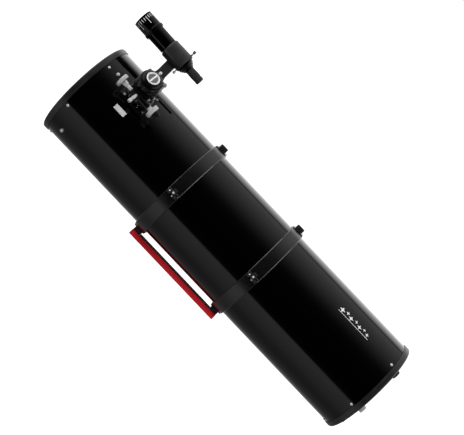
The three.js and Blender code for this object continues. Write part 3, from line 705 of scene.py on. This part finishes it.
def make_focuser_plate():
    base = Build()
    # Plate whose lower face follows the tube, built as strips across it.
    half_x, half_y, corner, top, bore = 41, 36.5, 5, 152, 34
    outline = rounded_outline(half_x, half_y, corner)
    low = [(x, y, math.sqrt((TUBE_R + 0.3) ** 2 - y * y)) for x, y in outline]
    count = len(outline)
    inset = 0.6
    mid = [(x, y, top - inset) for x, y in outline]
    cap = [(x * (1 - inset / half_x), y * (1 - inset / half_y), top) for x, y in outline]
    bearings = [math.atan2(y, x) for x, y in outline]
    order = sorted(range(count), key=lambda k: bearings[k])
    rim = [(bore * math.cos(a), bore * math.sin(a), top) for a in bearings]
    points = low + mid + cap + rim
    skirt, faces = [], []
    for n, k in enumerate(order):
        j = order[(n + 1) % count]
        skirt.append([k, j, count + j, count + k])
        faces.append([count + k, count + j, 2 * count + j, 2 * count + k])
        faces.append([2 * count + k, 2 * count + j, 3 * count + j, 3 * count + k])
    base.add(points, faces, FOCUSER, "focuser_anodised")
    base.add(points, skirt, FOCUSER, "felt")
    for x, y, radius in ((-28, -32, 3.8), (17, -33, 2.3), (36, -32, 2.6), (-35, 30, 2.4), (35, 30, 2.4)):
        socket_screw(base, FOCUSER @ shift(x, y, top - 0.4), radius, 2.6)
    base.piece("focuser_plate", "tube", ["focuser_base"])


def make_focuser_body():
    body = Build()
    body.turned([
        (27.4, 152.3), (37, 152.3), (37, 157.5), (36, 159), (33.5, 161), (33, 164), (33, 183), (32.2, 184),
        (32.2, 188), (33, 189), (33, 203.5), (32, 205), (28.2, 205), (27.4, 204), (27.4, 152.3),
    ], FOCUSER, "focuser_anodised", 96)
    body.block(-18, 12, -42, -28, SHAFT_Z - 13.5, 202.5, FOCUSER, "focuser_anodised")
    for x in (-14, 8.5):
        screw = FOCUSER @ shift(x, -41.9, SHAFT_Z - 10) @ turn("X", 90)
        socket_screw(body, screw, 1.5, 0.9)
    spot = FOCUSER @ shift(0, SHAFT_Y, SHAFT_Z) @ ALONG_X
    body.turned([
        (3.6, 6.5), (9, 6.5), (9.5, 7), (9.5, 41), (9, 42), (3.6, 42), (3.6, 6.5),
    ], spot, "focuser_anodised", 40)
    body.turned([
        (3.6, 41.6), (7.4, 41.6), (7.4, 43), (6.8, 43.6), (3.6, 43.6), (3.6, 41.6),
    ], spot, "nickel", 40)
    # Two silver bearing screws stand out on the barrel's lower rear.
    for degrees in (-8, -35):
        spot = FOCUSER @ turn("Z", degrees) @ shift(32.6, 0, 191) @ turn("Y", 90)
        body.turned([(0, 0), (3.6, 0), (3.8, 0.4), (3.8, 2.4), (3, 3.4), (0, 3.6)], spot, "silver_knob", 32)
    # Four squaring screws on the flange and four bearing screws on the barrel.
    for degrees in (-62, -118, 30, 150):
        spot = FOCUSER @ turn("Z", degrees) @ shift(34.2, 0, 158.4)
        pan_screw(body, spot, 2.1)
    for degrees in (60, 120):
        for z in (171, 195):
            spot = FOCUSER @ turn("Z", degrees) @ shift(32.8, 0, z) @ turn("Y", 90)
            socket_screw(body, spot, 2.4, 1.4)
    body.piece("focuser_housing", "tube", ["focuser_body"], bevel=0.5)


def make_drawtube():
    tube = Build()
    tube.turned([
        (25.3, 128), (27, 128), (27, 208), (30, 208), (31, 209), (31, 212), (30.2, 212.7), (30.2, 213.6),
        (31, 214.3, True), (31, 225.5, True), (30.2, 226.3), (31, 227.2), (31, 231), (30, 232), (25.3, 232),
        (25.3, 128),
    ], FOCUSER, "focuser_anodised", ribs=60, rib_depth=0.3)
    tube.block(-4, 4, -31.1, -26, 135, 209, FOCUSER, "focuser_anodised")
    tube.piece("drawtube_barrel", "drawtube", ["drawtube"])

    clamp = Build()
    spot = FOCUSER @ shift(0, 0, 220) @ turn("Z", 45) @ shift(31.2, 0, 0) @ turn("Y", 90)
    thumbscrew(clamp, spot, 5.5, 8, 5, 2, 7)
    clamp.piece("drawtube_clamp_screw", "drawtube_clamp", ["drawtube_thumbscrew"])


def make_adapter():
    adapter = Build()
    adapter.turned([
        (15.9, 196), (24.9, 196), (24.9, 232.3), (26.4, 232.3), (27, 232.9, True), (27, 236.4, True),
        (26.2, 237), (21, 240.3), (18, 240.6), (15.9, 240.6), (15.9, 196),
    ], FOCUSER, "focuser_anodised", ribs=48, rib_depth=0.2)
    adapter.turned([
        (15.9, 240.4), (18, 240.4), (18, 242), (17.4, 242.8), (16.7, 243), (15.9, 242.6), (15.9, 240.4),
    ], FOCUSER, "white_metal", 96)
    adapter.piece("adapter_ring", "adapter", ["eyepiece_adapter"])

    spot = FOCUSER @ shift(0, 27.2, 236.5) @ turn("X", -90)
    turned_piece("adapter_clamp_screw", "adapter_clamp", "adapter_thumbscrew", [
        (0, -7), (2, -7), (2, 0.2), (2.6, 0.2), (2.6, 1), (3.5, 1), (3.9, 1.4, True), (3.9, 7, True),
        (3.4, 7.5), (0, 7.5),
    ], spot, "silver_knob", ribs=18, rib_depth=0.3)

    plug = Build()
    plug.turned([
        (0, 212), (15.4, 212), (15.6, 241.4), (15.2, 242.2), (14.4, 242.2), (13.8, 241.4), (13.8, 238),
        (0, 237.6),
    ], FOCUSER, "white_metal", 64)
    plug.rod(13.7, 237.4, 238.3, FOCUSER, "spring_steel", 64)
    bar = rounded_outline(13.6, 1.9, 1.8, 4)
    plug.prism(bar, 238, 242.6, FOCUSER @ turn("Z", 90), "white_metal")
    plug.piece("dust_cap", "plug", ["dust_plug"], bevel=0.4)


def make_focus_knobs():
    axle = FOCUSER @ shift(0, SHAFT_Y, SHAFT_Z) @ ALONG_X
    turned_piece("shaft_rod", "coarse_focus", "focus_shaft", [
        (0, -56), (3, -56), (3, -9), (4.7, -9), (4.7, 9), (3, 9), (3, 60), (0, 60),
    ], axle, "nickel", sides=32)

    front = Build()
    front.turned([
        (3.3, -56.4), (8, -56.4), (8.6, -57), (16.8, -57), (18.2, -55.6, True), (18.2, -53.2, True),
        (17.5, -52.8), (17.5, -52.2), (18.2, -51.8, True), (18.2, -49.2, True), (17, -47.8), (7.6, -47.8),
    ] + [(7.6 - 2.6 * (k / 8) ** 2, -45 + 1.6 * k) for k in range(9)] + [
        (5, -31), (5, -19.2), (3.3, -19.2), (3.3, -56.4),
    ], axle, "silver_knob", ribs=44, rib_depth=0.7)
    front.rod(3.2, -57.4, -56.2, axle, "nickel")
    front.piece("coarse_knob_front", "coarse_focus", ["focus_knob_front"])

    turned_piece("coarse_knob_rear", "coarse_focus", "focus_knob_rear", [
        (3.3, 44), (6.8, 44), (7.4, 44.5), (7.4, 46), (6.4, 46.6), (6.4, 48), (7.4, 48.6), (7.4, 50.4),
        (17, 50.4), (18.2, 51.6, True), (18.2, 54.8, True), (17.5, 55.3), (17.5, 56.1), (18.2, 56.6, True),
        (18.2, 60.3, True), (17, 61.6), (10.4, 61.6), (10, 61), (3.3, 61), (3.3, 44),
    ], axle, "silver_knob", ribs=44, rib_depth=0.7)

    turned_piece("fine_knob", "fine_focus", "fine_focus_knob", [
        (0, 62), (8.6, 62), (9.5, 63, True), (9.5, 73.6, True), (8.6, 75), (5, 75.5), (4.6, 75), (0, 75),
    ], axle, "focuser_anodised", ribs=30, rib_depth=0.45)


def make_tension_screw():
    spot = FOCUSER @ shift(0, -42, SHAFT_Z + 8) @ turn("X", 90)
    turned_piece("tension_thumbscrew", "tension", "tension_screw", [
        (0, -2), (2.6, -2), (2.6, 0.3), (3.2, 0.3), (3.7, 5), (4.4, 10), (4.8, 15), (4.6, 16.6), (2.6, 17.6),
        (2.2, 18.6), (2.6, 19.8), (4.4, 20.5), (4.9, 21.3, True), (4.9, 29.8, True), (4.2, 30.8), (0, 31),
    ], spot, "silver_knob", ribs=22, rib_depth=0.3)


# ---------- Finder ----------

def make_shoe_screw():
    screw = Build()
    spot = clock_frame(FINDER_CLOCK) @ shift(STEM_X, -19.2, 156) @ turn("X", 90)
    thumbscrew(screw, spot, 6, 8, 4, 2, 5)
    screw.piece("shoe_thumbscrew", "finder_clamp", ["finder_shoe_screw"])


def finder_frame(x):
    """Frame on the tilted finder's own axis, with z to the rear."""
    return SCOPE @ shift(x, 0, 0) @ ALONG_X


def make_finder_tube():
    front, waist = SHIELD_REAR - SLEEVE_REAR + 0.3, SLEEVE_FRONT - SLEEVE_REAR
    turned_piece("finder_barrel", "finder", "finder_tube", [
        (0, front - 14), (22, front - 14), (22, front), (25.2, front), (25.2, front + 3), (24.8, front + 4),
        (24.6, waist - 3), (21.5, waist - 2), (21.5, 1.6), (22.6, 2.2), (22.8, 2.8, True), (22.8, 6.4, True),
        (21.6, 7), (20.2, 7.6), (19.8, 8.4, True), (19.8, 11.2, True), (18.4, 12), (16.6, 12.6),
        (16.2, 13.4, True), (16.2, 15.4, True), (14.4, 16), (13.5, 16.6), (13.5, 18.2), (12.8, 19), (0, 19),
    ], finder_frame(SLEEVE_REAR), "gloss_enamel", ribs=36, rib_depth=0.35)


def make_objective():
    shield = Build()
    spot = finder_frame(SHIELD_REAR)
    mouth = SHIELD_FRONT - SHIELD_REAR
    shield.turned([
        (24.4, mouth + 0.6), (25.2, mouth), (26.2, mouth), (27, mouth + 1), (27, -12), (27.2, -11), (28, -10),
        (28.6, -9.2, True), (28.6, -1.2, True), (27.8, 0), (22.3, 0), (22.3, -20), (24.4, -22),
        (24.4, mouth + 0.6),
    ], spot, "gloss_enamel", ribs=52, rib_depth=0.45)
    # Generic index: a scale of short strokes round the shield, as on a focusing collar.
    start = SHIELD_FRONT + 5
    for k in range(24):
        length = 24 if k % 4 == 0 else 10
        stroke = SCOPE @ turn("X", 15 * k + 6) @ shift(0, 0, 27.02)
        shield.block(start, start + length, -0.6, 0.6, -0.2, 0.12, stroke, "white_print")
    shield.piece("objective_cell", "finder_objective", ["finder_dew_shield"])

    radius, steps = 23, 8
    shares = [k / steps for k in range(steps + 1)]
    rows = [(radius * share, -32 + 3.8 * share ** 2) for share in shares]
    rows += [(radius * share, -22.4 - 2.1 * share ** 2) for share in shares[::-1]]
    turned_piece("objective_lens", "finder_objective", "finder_objective", rows, spot, "lens_glass")


def make_eyepiece():
    eyepiece = Build()
    spot = finder_frame(SLEEVE_REAR + 19.3)
    eyepiece.turned([
        (0, 0), (11.3, 0), (11.85, 0.8), (11.85, 3), (11.2, 3.6), (11.2, 5), (11.85, 5.6, True),
        (11.85, 27, True), (11.2, 28), (11.2, 30), (11.85, 31), (11.85, 38.6), (11, 39.8), (10.4, 40.8),
        (8.2, 40.8), (7, 34), (0, 34),
    ], spot, "satin_black", ribs=40, rib_depth=0.35)
    eyepiece.turned([(0, 34.1), (6.9, 34.1), (5, 35.2), (0, 35.8)], spot, "lens_glass", 40)
    eyepiece.piece("ocular", "finder", ["finder_eyepiece"])


def make_o_ring():
    radius, cord_radius = 23.3, 1.5
    rows = [(radius + x, y) for x, y in circle(cord_radius, 12)]
    spot = finder_frame(FINDER_PIVOT)
    turned_piece("o_ring", "finder_gimbal", "finder_o_ring", rows + rows[:1], spot, "rubber")


# Piece, its body and CAD node, clock angle, head radius, head, neck and shank
POINTING_SCREWS = (
    ("pointing_screw_top", "finder_screw_top", 90, 4.25, 8, 7, 5.6),
    ("pointing_screw_side", "finder_screw_side", 205, 4.25, 7, 4, 3.2),
    ("spring_plunger", "finder_plunger", -72, 4, 7, 5, 3.2),
)


def make_pointing_screws():
    for name, node, clock, head_r, head, neck, shank in POINTING_SCREWS:
        part = Build()
        spot = FINDER @ shift(POINTING_X, 0, 0) @ turn("X", 90 - clock) @ shift(0, 0, SLEEVE_R + 0.2)
        thumbscrew(part, spot, head_r, head, neck, 1.9, shank, ribs=18)
        part.piece(name, node, [node])


# ---------- Tube rings ----------

def ring_profile(side):
    """[y, z] outline of a ring half above or below the tube, from the hinge side to the clamp side."""
    slit, bore = 0.4, TUBE_R + 1.6
    start = math.degrees(math.asin(slit / RING_R))
    pad = math.degrees(math.acos(25 / RING_R))
    outer = arc(RING_R, start, pad, 36)
    outer += [(-25, PAD_TOP - 0.2), (-24.4, PAD_TOP), (24.4, PAD_TOP), (25, PAD_TOP - 0.2)]
    outer += arc(RING_R, 180 - pad, 180 - start, 36)
    inner = arc(bore, 180 - start, start, 96)
    return [(y, side * z) for y, z in outer + inner]


def ring_edge(build, spot, side, x_side, start, end, finish):
    """Chamfered edge of a ring half, from one clock angle to another."""
    half = RING_WIDTH / 2
    section = [
        (TUBE_R + 1.6, half - EDGE), (RING_R, half - EDGE), (RING_R - EDGE, half), (TUBE_R + 1.6, half),
    ]
    steps = max(12, int((end - start) / 2))
    points = []
    for k in range(steps + 1):
        angle = (start + (end - start) * k / steps) * DEG
        for radius, x in section:
            points.append((x * x_side, -radius * math.cos(angle), side * radius * math.sin(angle)))
    faces = [face for k in range(steps) for face in wall(4, 4 * k)]
    ends = [[0, 1, 2, 3], [4 * steps + n for n in range(4)]]
    build.add(points, faces + ends, spot, finish)


def make_band(end, spot, side, level, body):
    """Half of a ring, with its clamp lug and its share of the hinge."""
    band = Build()
    half = RING_WIDTH / 2
    across = spot @ ACROSS
    band.prism(ring_profile(side), EDGE - half, half - EDGE, across, "ring_anodised")
    z0, z1 = sorted((0.4 * side, LUG_HEIGHT * side))
    lug = [(149, z0), (168, z0), (171, z0 + 3), (171, z1 - 3), (168, z1), (149, z1)]
    band.prism(lug, 5 - half, half - 5, across, "ring_anodised")
    # Hinge knuckles: one in the middle above, two outside it below.
    barrel = spot @ shift(0, -HINGE_Y, 0) @ ALONG_X
    web = [
        (-HINGE_Y, 2.9 * side), (-HINGE_Y + 1, 5.8 * side), (-150.6, 11 * side), (-148.6, 11 * side),
        (-149.8, 0.5 * side), (-HINGE_Y + 5.2, 0.5 * side),
    ]
    for low, high in [(-6, 6)] if side > 0 else [(-16, -6.4), (6.4, 16)]:
        band.turned([
            (2.8, low), (5.6, low), (6, low + 0.4), (6, high - 0.4), (5.6, high), (2.8, high), (2.8, low),
        ], barrel, "ring_anodised", 40)
        band.prism(web, low, high, across, "ring_anodised")
    band.piece(f"band_{level}_{end}", body, [f"ring_{level}_{end}"], bevel=0.7, segments=3)


def make_trim(end, spot, side, level, body):
    """Chamfers and hinge screws. The upper half's chamfers are bright bare metal from the hinge side up to 50
    degrees, a painted highlight where the edges catch the light.
    """
    trim = Build()
    # The upper half's chamfers are bright metal from 0.3 to 50 degrees: a painted highlight.
    lit_edge_end = 50 if side > 0 else 0.3
    for x_side in (-1, 1):
        if side > 0:
            ring_edge(trim, spot, side, x_side, 0.3, lit_edge_end, "painted_highlight_edge")
        ring_edge(trim, spot, side, x_side, lit_edge_end, 179.7, "ring_anodised")
    heads = ((0, -162, 1, 2.7),) if side > 0 else ((-11, -161.8, -1.2, 2), (2.5, -153, -8.5, 2.2))
    for x, y, z, radius in heads:
        trim.turned(
            [(0, 0), (radius, 0), (radius, 0.8), (radius - 0.8, 1.3), (0, 1.3)],
            spot @ shift(x, y, z) @ turn("X", 90), "white_metal", 24,
        )
    trim.piece(f"trim_{level}_{end}", body)


def make_lining(end, spot, side, level, body):
    lining = Build()
    start, half = 0.6, RING_WIDTH / 2
    line = arc(TUBE_R + 1.7, start, 180 - start, 96) + arc(TUBE_R + 0.15, 180 - start, start, 96)
    lining.prism([(y, side * z) for y, z in line], 0.9 - half, half - 0.9, spot @ ACROSS, "felt")
    lining.piece(f"felt_{level}_{end}", body)


def make_ring(end, x):
    spot = AXIS @ shift(x, 0, 0)
    for side, level, body in ((-1, "lower", "saddle"), (1, "upper", f"ring_{end}")):
        for make in (make_band, make_trim, make_lining):
            make(end, spot, side, level, body)

    turned_piece(f"hinge_axle_{end}", "saddle", f"hinge_pin_{end}", [
        (0, -17.2), (1.9, -17.2), (2.5, -16.6), (2.5, 16.6), (1.9, 17.2), (0, 17.2),
    ], spot @ shift(0, -HINGE_Y, 0) @ ALONG_X, "nickel", sides=24)

    clamp = Build()
    top = LUG_HEIGHT
    post = spot @ shift(0, CLAMP_Y, 0)
    clamp.rod(3, -top + 1, top + 0.3, post, "nickel")
    clamp.turned([
        (0, 0.3), (6, 0.3), (6, 2.6), (8.6, 3.4), (10, 4.6, True), (10, 14.6, True), (8.8, 16.2), (4, 16.5),
        (3.6, 16), (0, 16),
    ], post @ shift(0, 0, top), "knob_plastic", ribs=20, rib_depth=0.8)
    clamp.piece(f"clamp_knob_{end}", f"clamp_{end}", [f"clamp_screw_{end}"])

    low, high = PAD_TOP + 0.3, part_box(f"top_knob_{end}")[1][2] / MM - AXIS_Z
    turned_piece(f"pad_knob_{end}", f"knob_{end}", f"top_knob_{end}", [
        (0, low), (11, low), (11.85, low + 0.9, True), (11.85, high - 1, True), (11, high - 0.1), (7, high),
        (6.4, high - 0.6), (0, high - 0.6),
    ], spot, "knob_plastic", ribs=30, rib_depth=0.6)


# ---------- Rail, label and decal ----------

def make_rail():
    build = Build()
    outline = [
        (-22, 0.4), (-21.6, 0), (21.6, 0), (22, 0.4), (22, 3), (18.2, 14.6), (17.8, 15), (9, 15), (8.4, 14.2),
        (-8.4, 14.2), (-9, 15), (-17.8, 15), (-18.2, 14.6), (-22, 3),
    ]
    half = size_mm("dovetail_rail").x / 2
    build.prism(outline, -half, half, ACROSS, "red_anodised")
    for x in (-RING_X - 7, -RING_X + 7, RING_X - 7, RING_X + 7):
        screw = shift(x, 0, 0) @ turn("X", 180)
        build.rod(4.6, -1, 0.05, screw, "nickel")
    build.piece("red_rail", "saddle", ["dovetail_rail"], bevel=0.5, segments=3)

    # A near-black felt strip on the rail's top between the spacers: painted shade from the tube above.
    pad = Build()
    reach = RING_X - 13
    pad.block(-reach, reach, -17.4, 17.4, 14.4, 15.2, Matrix(), "felt")
    pad.piece("rail_top_shade_strip", "saddle", bevel=0.2)


def curved_patch(build, clock, x0, x1, half_width, lift, finish, steps):
    """Thin sheet that follows the tube's surface."""
    spot = clock_frame(clock)
    points = []
    for x in (x0, x1):
        for radius in (TUBE_R + 0.02, TUBE_R + lift):
            for k in range(steps + 1):
                y = -half_width + 2 * half_width * k / steps
                angle = y / TUBE_R
                points.append((x, radius * math.sin(angle), radius * math.cos(angle)))
    row = steps + 1
    faces = []
    for k in range(steps):
        faces.append([k, k + 1, 2 * row + k + 1, 2 * row + k])
        faces.append([row + k, row + k + 1, 3 * row + k + 1, 3 * row + k])
        for end in (0, 2 * row):
            faces.append([end + k, end + k + 1, end + row + k + 1, end + row + k])
    for edge in (0, steps):
        faces.append([edge, row + edge, 3 * row + edge, 2 * row + edge])
    build.add(points, faces, spot, finish)


def make_label():
    label = Build()
    half_x, half_y = 17.7, 6.8
    curved_patch(label, LABEL_CLOCK, LABEL_X - half_x, LABEL_X + half_x, half_y, 0.8, "label_foil", 8)
    for side in (-1, 1):
        rivet = clock_frame(LABEL_CLOCK, LABEL_X + 15 * side) @ shift(0, 0, TUBE_R + 0.7)
        label.turned([(0, 0), (1, 0), (0.9, 0.4), (0.5, 0.6), (0, 0.7)], rivet, "nickel", 20)
    label.piece("blank_label", "tube", ["label_plate"])


def star_on_tube(build, clock, x, size):
    """Small four-pointed star that lies on the tube."""
    count = 8
    tips = circle(size, count)
    notches = circle(size * 0.36, count)
    rows = [notches[k] if k % 2 else tips[k] for k in range(count)]
    verts = [(x, y, math.sqrt(r * r - y * y)) for r in (TUBE_R + 0.02, TUBE_R + 0.25) for x, y in rows]
    faces = wall(count)
    for k in range(count):
        j = (k + 1) % count
        faces += [[count + k, count + j, 2 * count], [j, k, 2 * count + 1]]
    verts += [(0, 0, TUBE_R + 0.25), (0, 0, TUBE_R + 0.02)]
    build.add(verts, faces, clock_frame(clock, x), "white_print")


DECAL_CLOCK = 46
DECAL_X = (359, 466)
# Place of each star along the band of the decal, from 0 to 1, and its size.
STARS = [(0.08, 9.4), (0.24, 6.4), (0.37, 8.4), (0.53, 5.8), (0.66, 7.8), (0.80, 5.2), (0.92, 6.2)]


def make_decal():
    build = Build()
    low, high = DECAL_X
    for k, (share, size) in enumerate(STARS):
        star_on_tube(build, DECAL_CLOCK + (1.2 if k % 2 else -0.8), low + (high - low) * share, size)
    curved_patch(build, DECAL_CLOCK - 4.4, low, high, 0.6, 0.25, "white_print", 2)
    build.piece("star_decal", "tube")


# ---------- CAD nodes that keep their own shape ----------

KEPT = {
    "mirror_cell": ("powder_coat", 0.8),
    "spacer_front": ("satin_black", 0.8),
    "spacer_rear": ("satin_black", 0.8),
    "finder_shoe": ("satin_black", 0.8),
    "finder_bracket": ("bracket_paint", 0.6),
}


def dress_kept_nodes():
    for node, (finish, width) in KEPT.items():
        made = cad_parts[node]
        for material_slot in made.material_slots:
            material_slot.material = FINISH[finish]
        round_edges(made, width)


# ---------- Camera, lights and floor ----------

CAMERA_DISTANCE = 3.2
CAMERA_ELEVATION = 6.5 * DEG
CAMERA_ROLL = 46.5 * DEG
CAMERA_LENS = 93.5
AIM_X = 0.0006                    # where the view's middle falls along the tube, in metres
AIM_UP = 0.047                    # and above the tube's axis


def make_camera():
    data = bpy.data.cameras.new("camera")
    data.lens = CAMERA_LENS
    data.sensor_width = 36
    camera = bpy.data.objects.new("camera", data)
    bpy.context.collection.objects.link(camera)
    back = Vector((0, -math.cos(CAMERA_ELEVATION), math.sin(CAMERA_ELEVATION)))
    up = Vector((0, math.sin(CAMERA_ELEVATION), math.cos(CAMERA_ELEVATION)))
    aim = Vector((AIM_X, 0, AXIS_Z * MM)) + up * AIM_UP
    camera.location = aim + back * CAMERA_DISTANCE
    level = (-back).to_track_quat("-Z", "Y").to_matrix().to_4x4()
    tilted = level @ Matrix.Rotation(CAMERA_ROLL, 4, "Z")
    camera.rotation_euler = tilted.to_euler()
    bpy.context.scene.camera = camera


# The studio as the glossy tube reflects it, by the angle about its axis from the front (-Y, 0)
# over the top (90) to the back (180): a dark room in front, a soft box overhead, a bright wall
# behind and a white table below. Each row is an angle and a radiance.
STUDIO = [
    (-180, 1.2), (-160, 0.5), (-138, 0.20), (-121, 0.14), (-97, 0.14), (-85, 0.20), (-70, 0.33),
    (-48, 0.48), (-41.5, 0.48), (-39.5, 0.03), (-30, 0.004), (0, 0.002), (31, 0.004), (45, 0.02),
    (51, 0.045), (58, 0.09), (65, 0.16), (72, 0.25), (80, 0.36), (97, 0.52), (117, 0.58), (125, 0.52),
    (128, 0.22), (130.5, 0.22), (134, 0.9), (144, 1.3), (168, 1.6), (180, 1.5),
]
BACKDROP = 1.0
END_WALLS = 0.8


def make_world():
    world = bpy.data.worlds.new("studio")
    bpy.context.scene.world = world
    world.use_nodes = True
    nodes = Nodes(world.node_tree)
    nodes.tree.nodes.clear()
    split = nodes.add("SeparateXYZ")
    nodes.link(nodes.add("TexCoord").outputs["Generated"], split.inputs[0])
    x, y, z = split.outputs
    angle = nodes.math("ARCTAN2", z, nodes.math("MULTIPLY", y, -1))
    ramp = nodes.add("ValToRGB")
    stops = ramp.color_ramp.elements
    while len(stops) > 1:
        stops.remove(stops[-1])
    for k, (degrees, radiance) in enumerate(STUDIO):
        place = (degrees + 180) / 360
        stop = stops[0] if k == 0 else stops.new(place)
        stop.position = place
        stop.color = (radiance, radiance, radiance, 1)
    nodes.link(nodes.remap(angle, 0, 1, -math.pi, math.pi), ramp.inputs["Fac"])
    # Bright walls at both ends of the room, which only edges and end faces reflect.
    sideways = nodes.remap(nodes.math("ABSOLUTE", x), 0, 1, 0.5, 0.75)
    above = nodes.remap(z, 0, 1, -0.05, 0.1)
    walls = nodes.add("Mix", data_type="RGBA")
    nodes.link(nodes.math("MULTIPLY", sideways, above), walls.inputs["Factor"])
    nodes.link(ramp.outputs["Color"], walls.inputs["A"])
    walls.inputs["B"].default_value = (END_WALLS, END_WALLS, END_WALLS, 1)
    studio = nodes.add("Background")
    nodes.link(walls.outputs["Result"], studio.inputs["Color"])
    white = nodes.add("Background", Color=(BACKDROP, BACKDROP, BACKDROP, 1))
    mix = nodes.add("MixShader")
    nodes.link(nodes.add("LightPath").outputs["Is Camera Ray"], mix.inputs["Fac"])
    nodes.link(studio.outputs[0], mix.inputs[1])
    nodes.link(white.outputs[0], mix.inputs[2])
    nodes.link(mix.outputs[0], nodes.add("OutputWorld").inputs["Surface"])


def soft_light(name, place, target, size, power):
    """Area light that lights surfaces without showing as a patch in the gloss."""
    data = bpy.data.lights.new(name, "AREA")
    data.shape = "SQUARE"
    data.size = size
    data.energy = power
    light = bpy.data.objects.new(name, data)
    bpy.context.collection.objects.link(light)
    light.location = place
    light.rotation_euler = (Vector(target) - Vector(place)).to_track_quat("-Z", "Y").to_euler()
    light.visible_glossy = False


FLOOR_Z = -1.0
FLOOR_GLOW = 0.75                 # how pale the floor looks, whatever the light on it


def make_floor():
    bpy.ops.mesh.primitive_grid_add(x_subdivisions=8, y_subdivisions=8, size=120, location=(0, 0, FLOOR_Z))
    floor = bpy.context.active_object
    floor.name = "floor"
    material = bpy.data.materials.new("pale_floor")
    material.use_nodes = True
    shader = material.node_tree.nodes["Principled BSDF"]
    shader.inputs["Base Color"].default_value = (0.9, 0.9, 0.9, 1)
    shader.inputs["Roughness"].default_value = 0.9
    shader.inputs["Emission Color"].default_value = (1, 1, 1, 1)
    shader.inputs["Emission Strength"].default_value = FLOOR_GLOW
    floor.data.materials.append(material)
    floor.visible_glossy = False
    floor.visible_diffuse = False


# ---------- The scene ----------

make_camera()
make_world()
soft_light("key", (-1.6, -2.2, 2.2), (0, 0, 0.2), size=1.4, power=88)
soft_light("fill", (1.8, -2.4, 0.4), (0, 0, 0.2), size=1.6, power=18)
make_floor()
bpy.context.scene.view_settings.view_transform = "Standard"

make_tube()
make_end_rings()
make_spider()
make_secondary()
make_primary()
make_adjusters()
make_focuser_plate()
make_focuser_body()
make_drawtube()
make_adapter()
make_focus_knobs()
make_tension_screw()
make_shoe_screw()
make_finder_tube()
make_objective()
make_eyepiece()
make_o_ring()
make_pointing_screws()
make_ring("front", -RING_X)
make_ring("rear", RING_X)
make_rail()
make_label()
make_decal()
dress_kept_nodes()
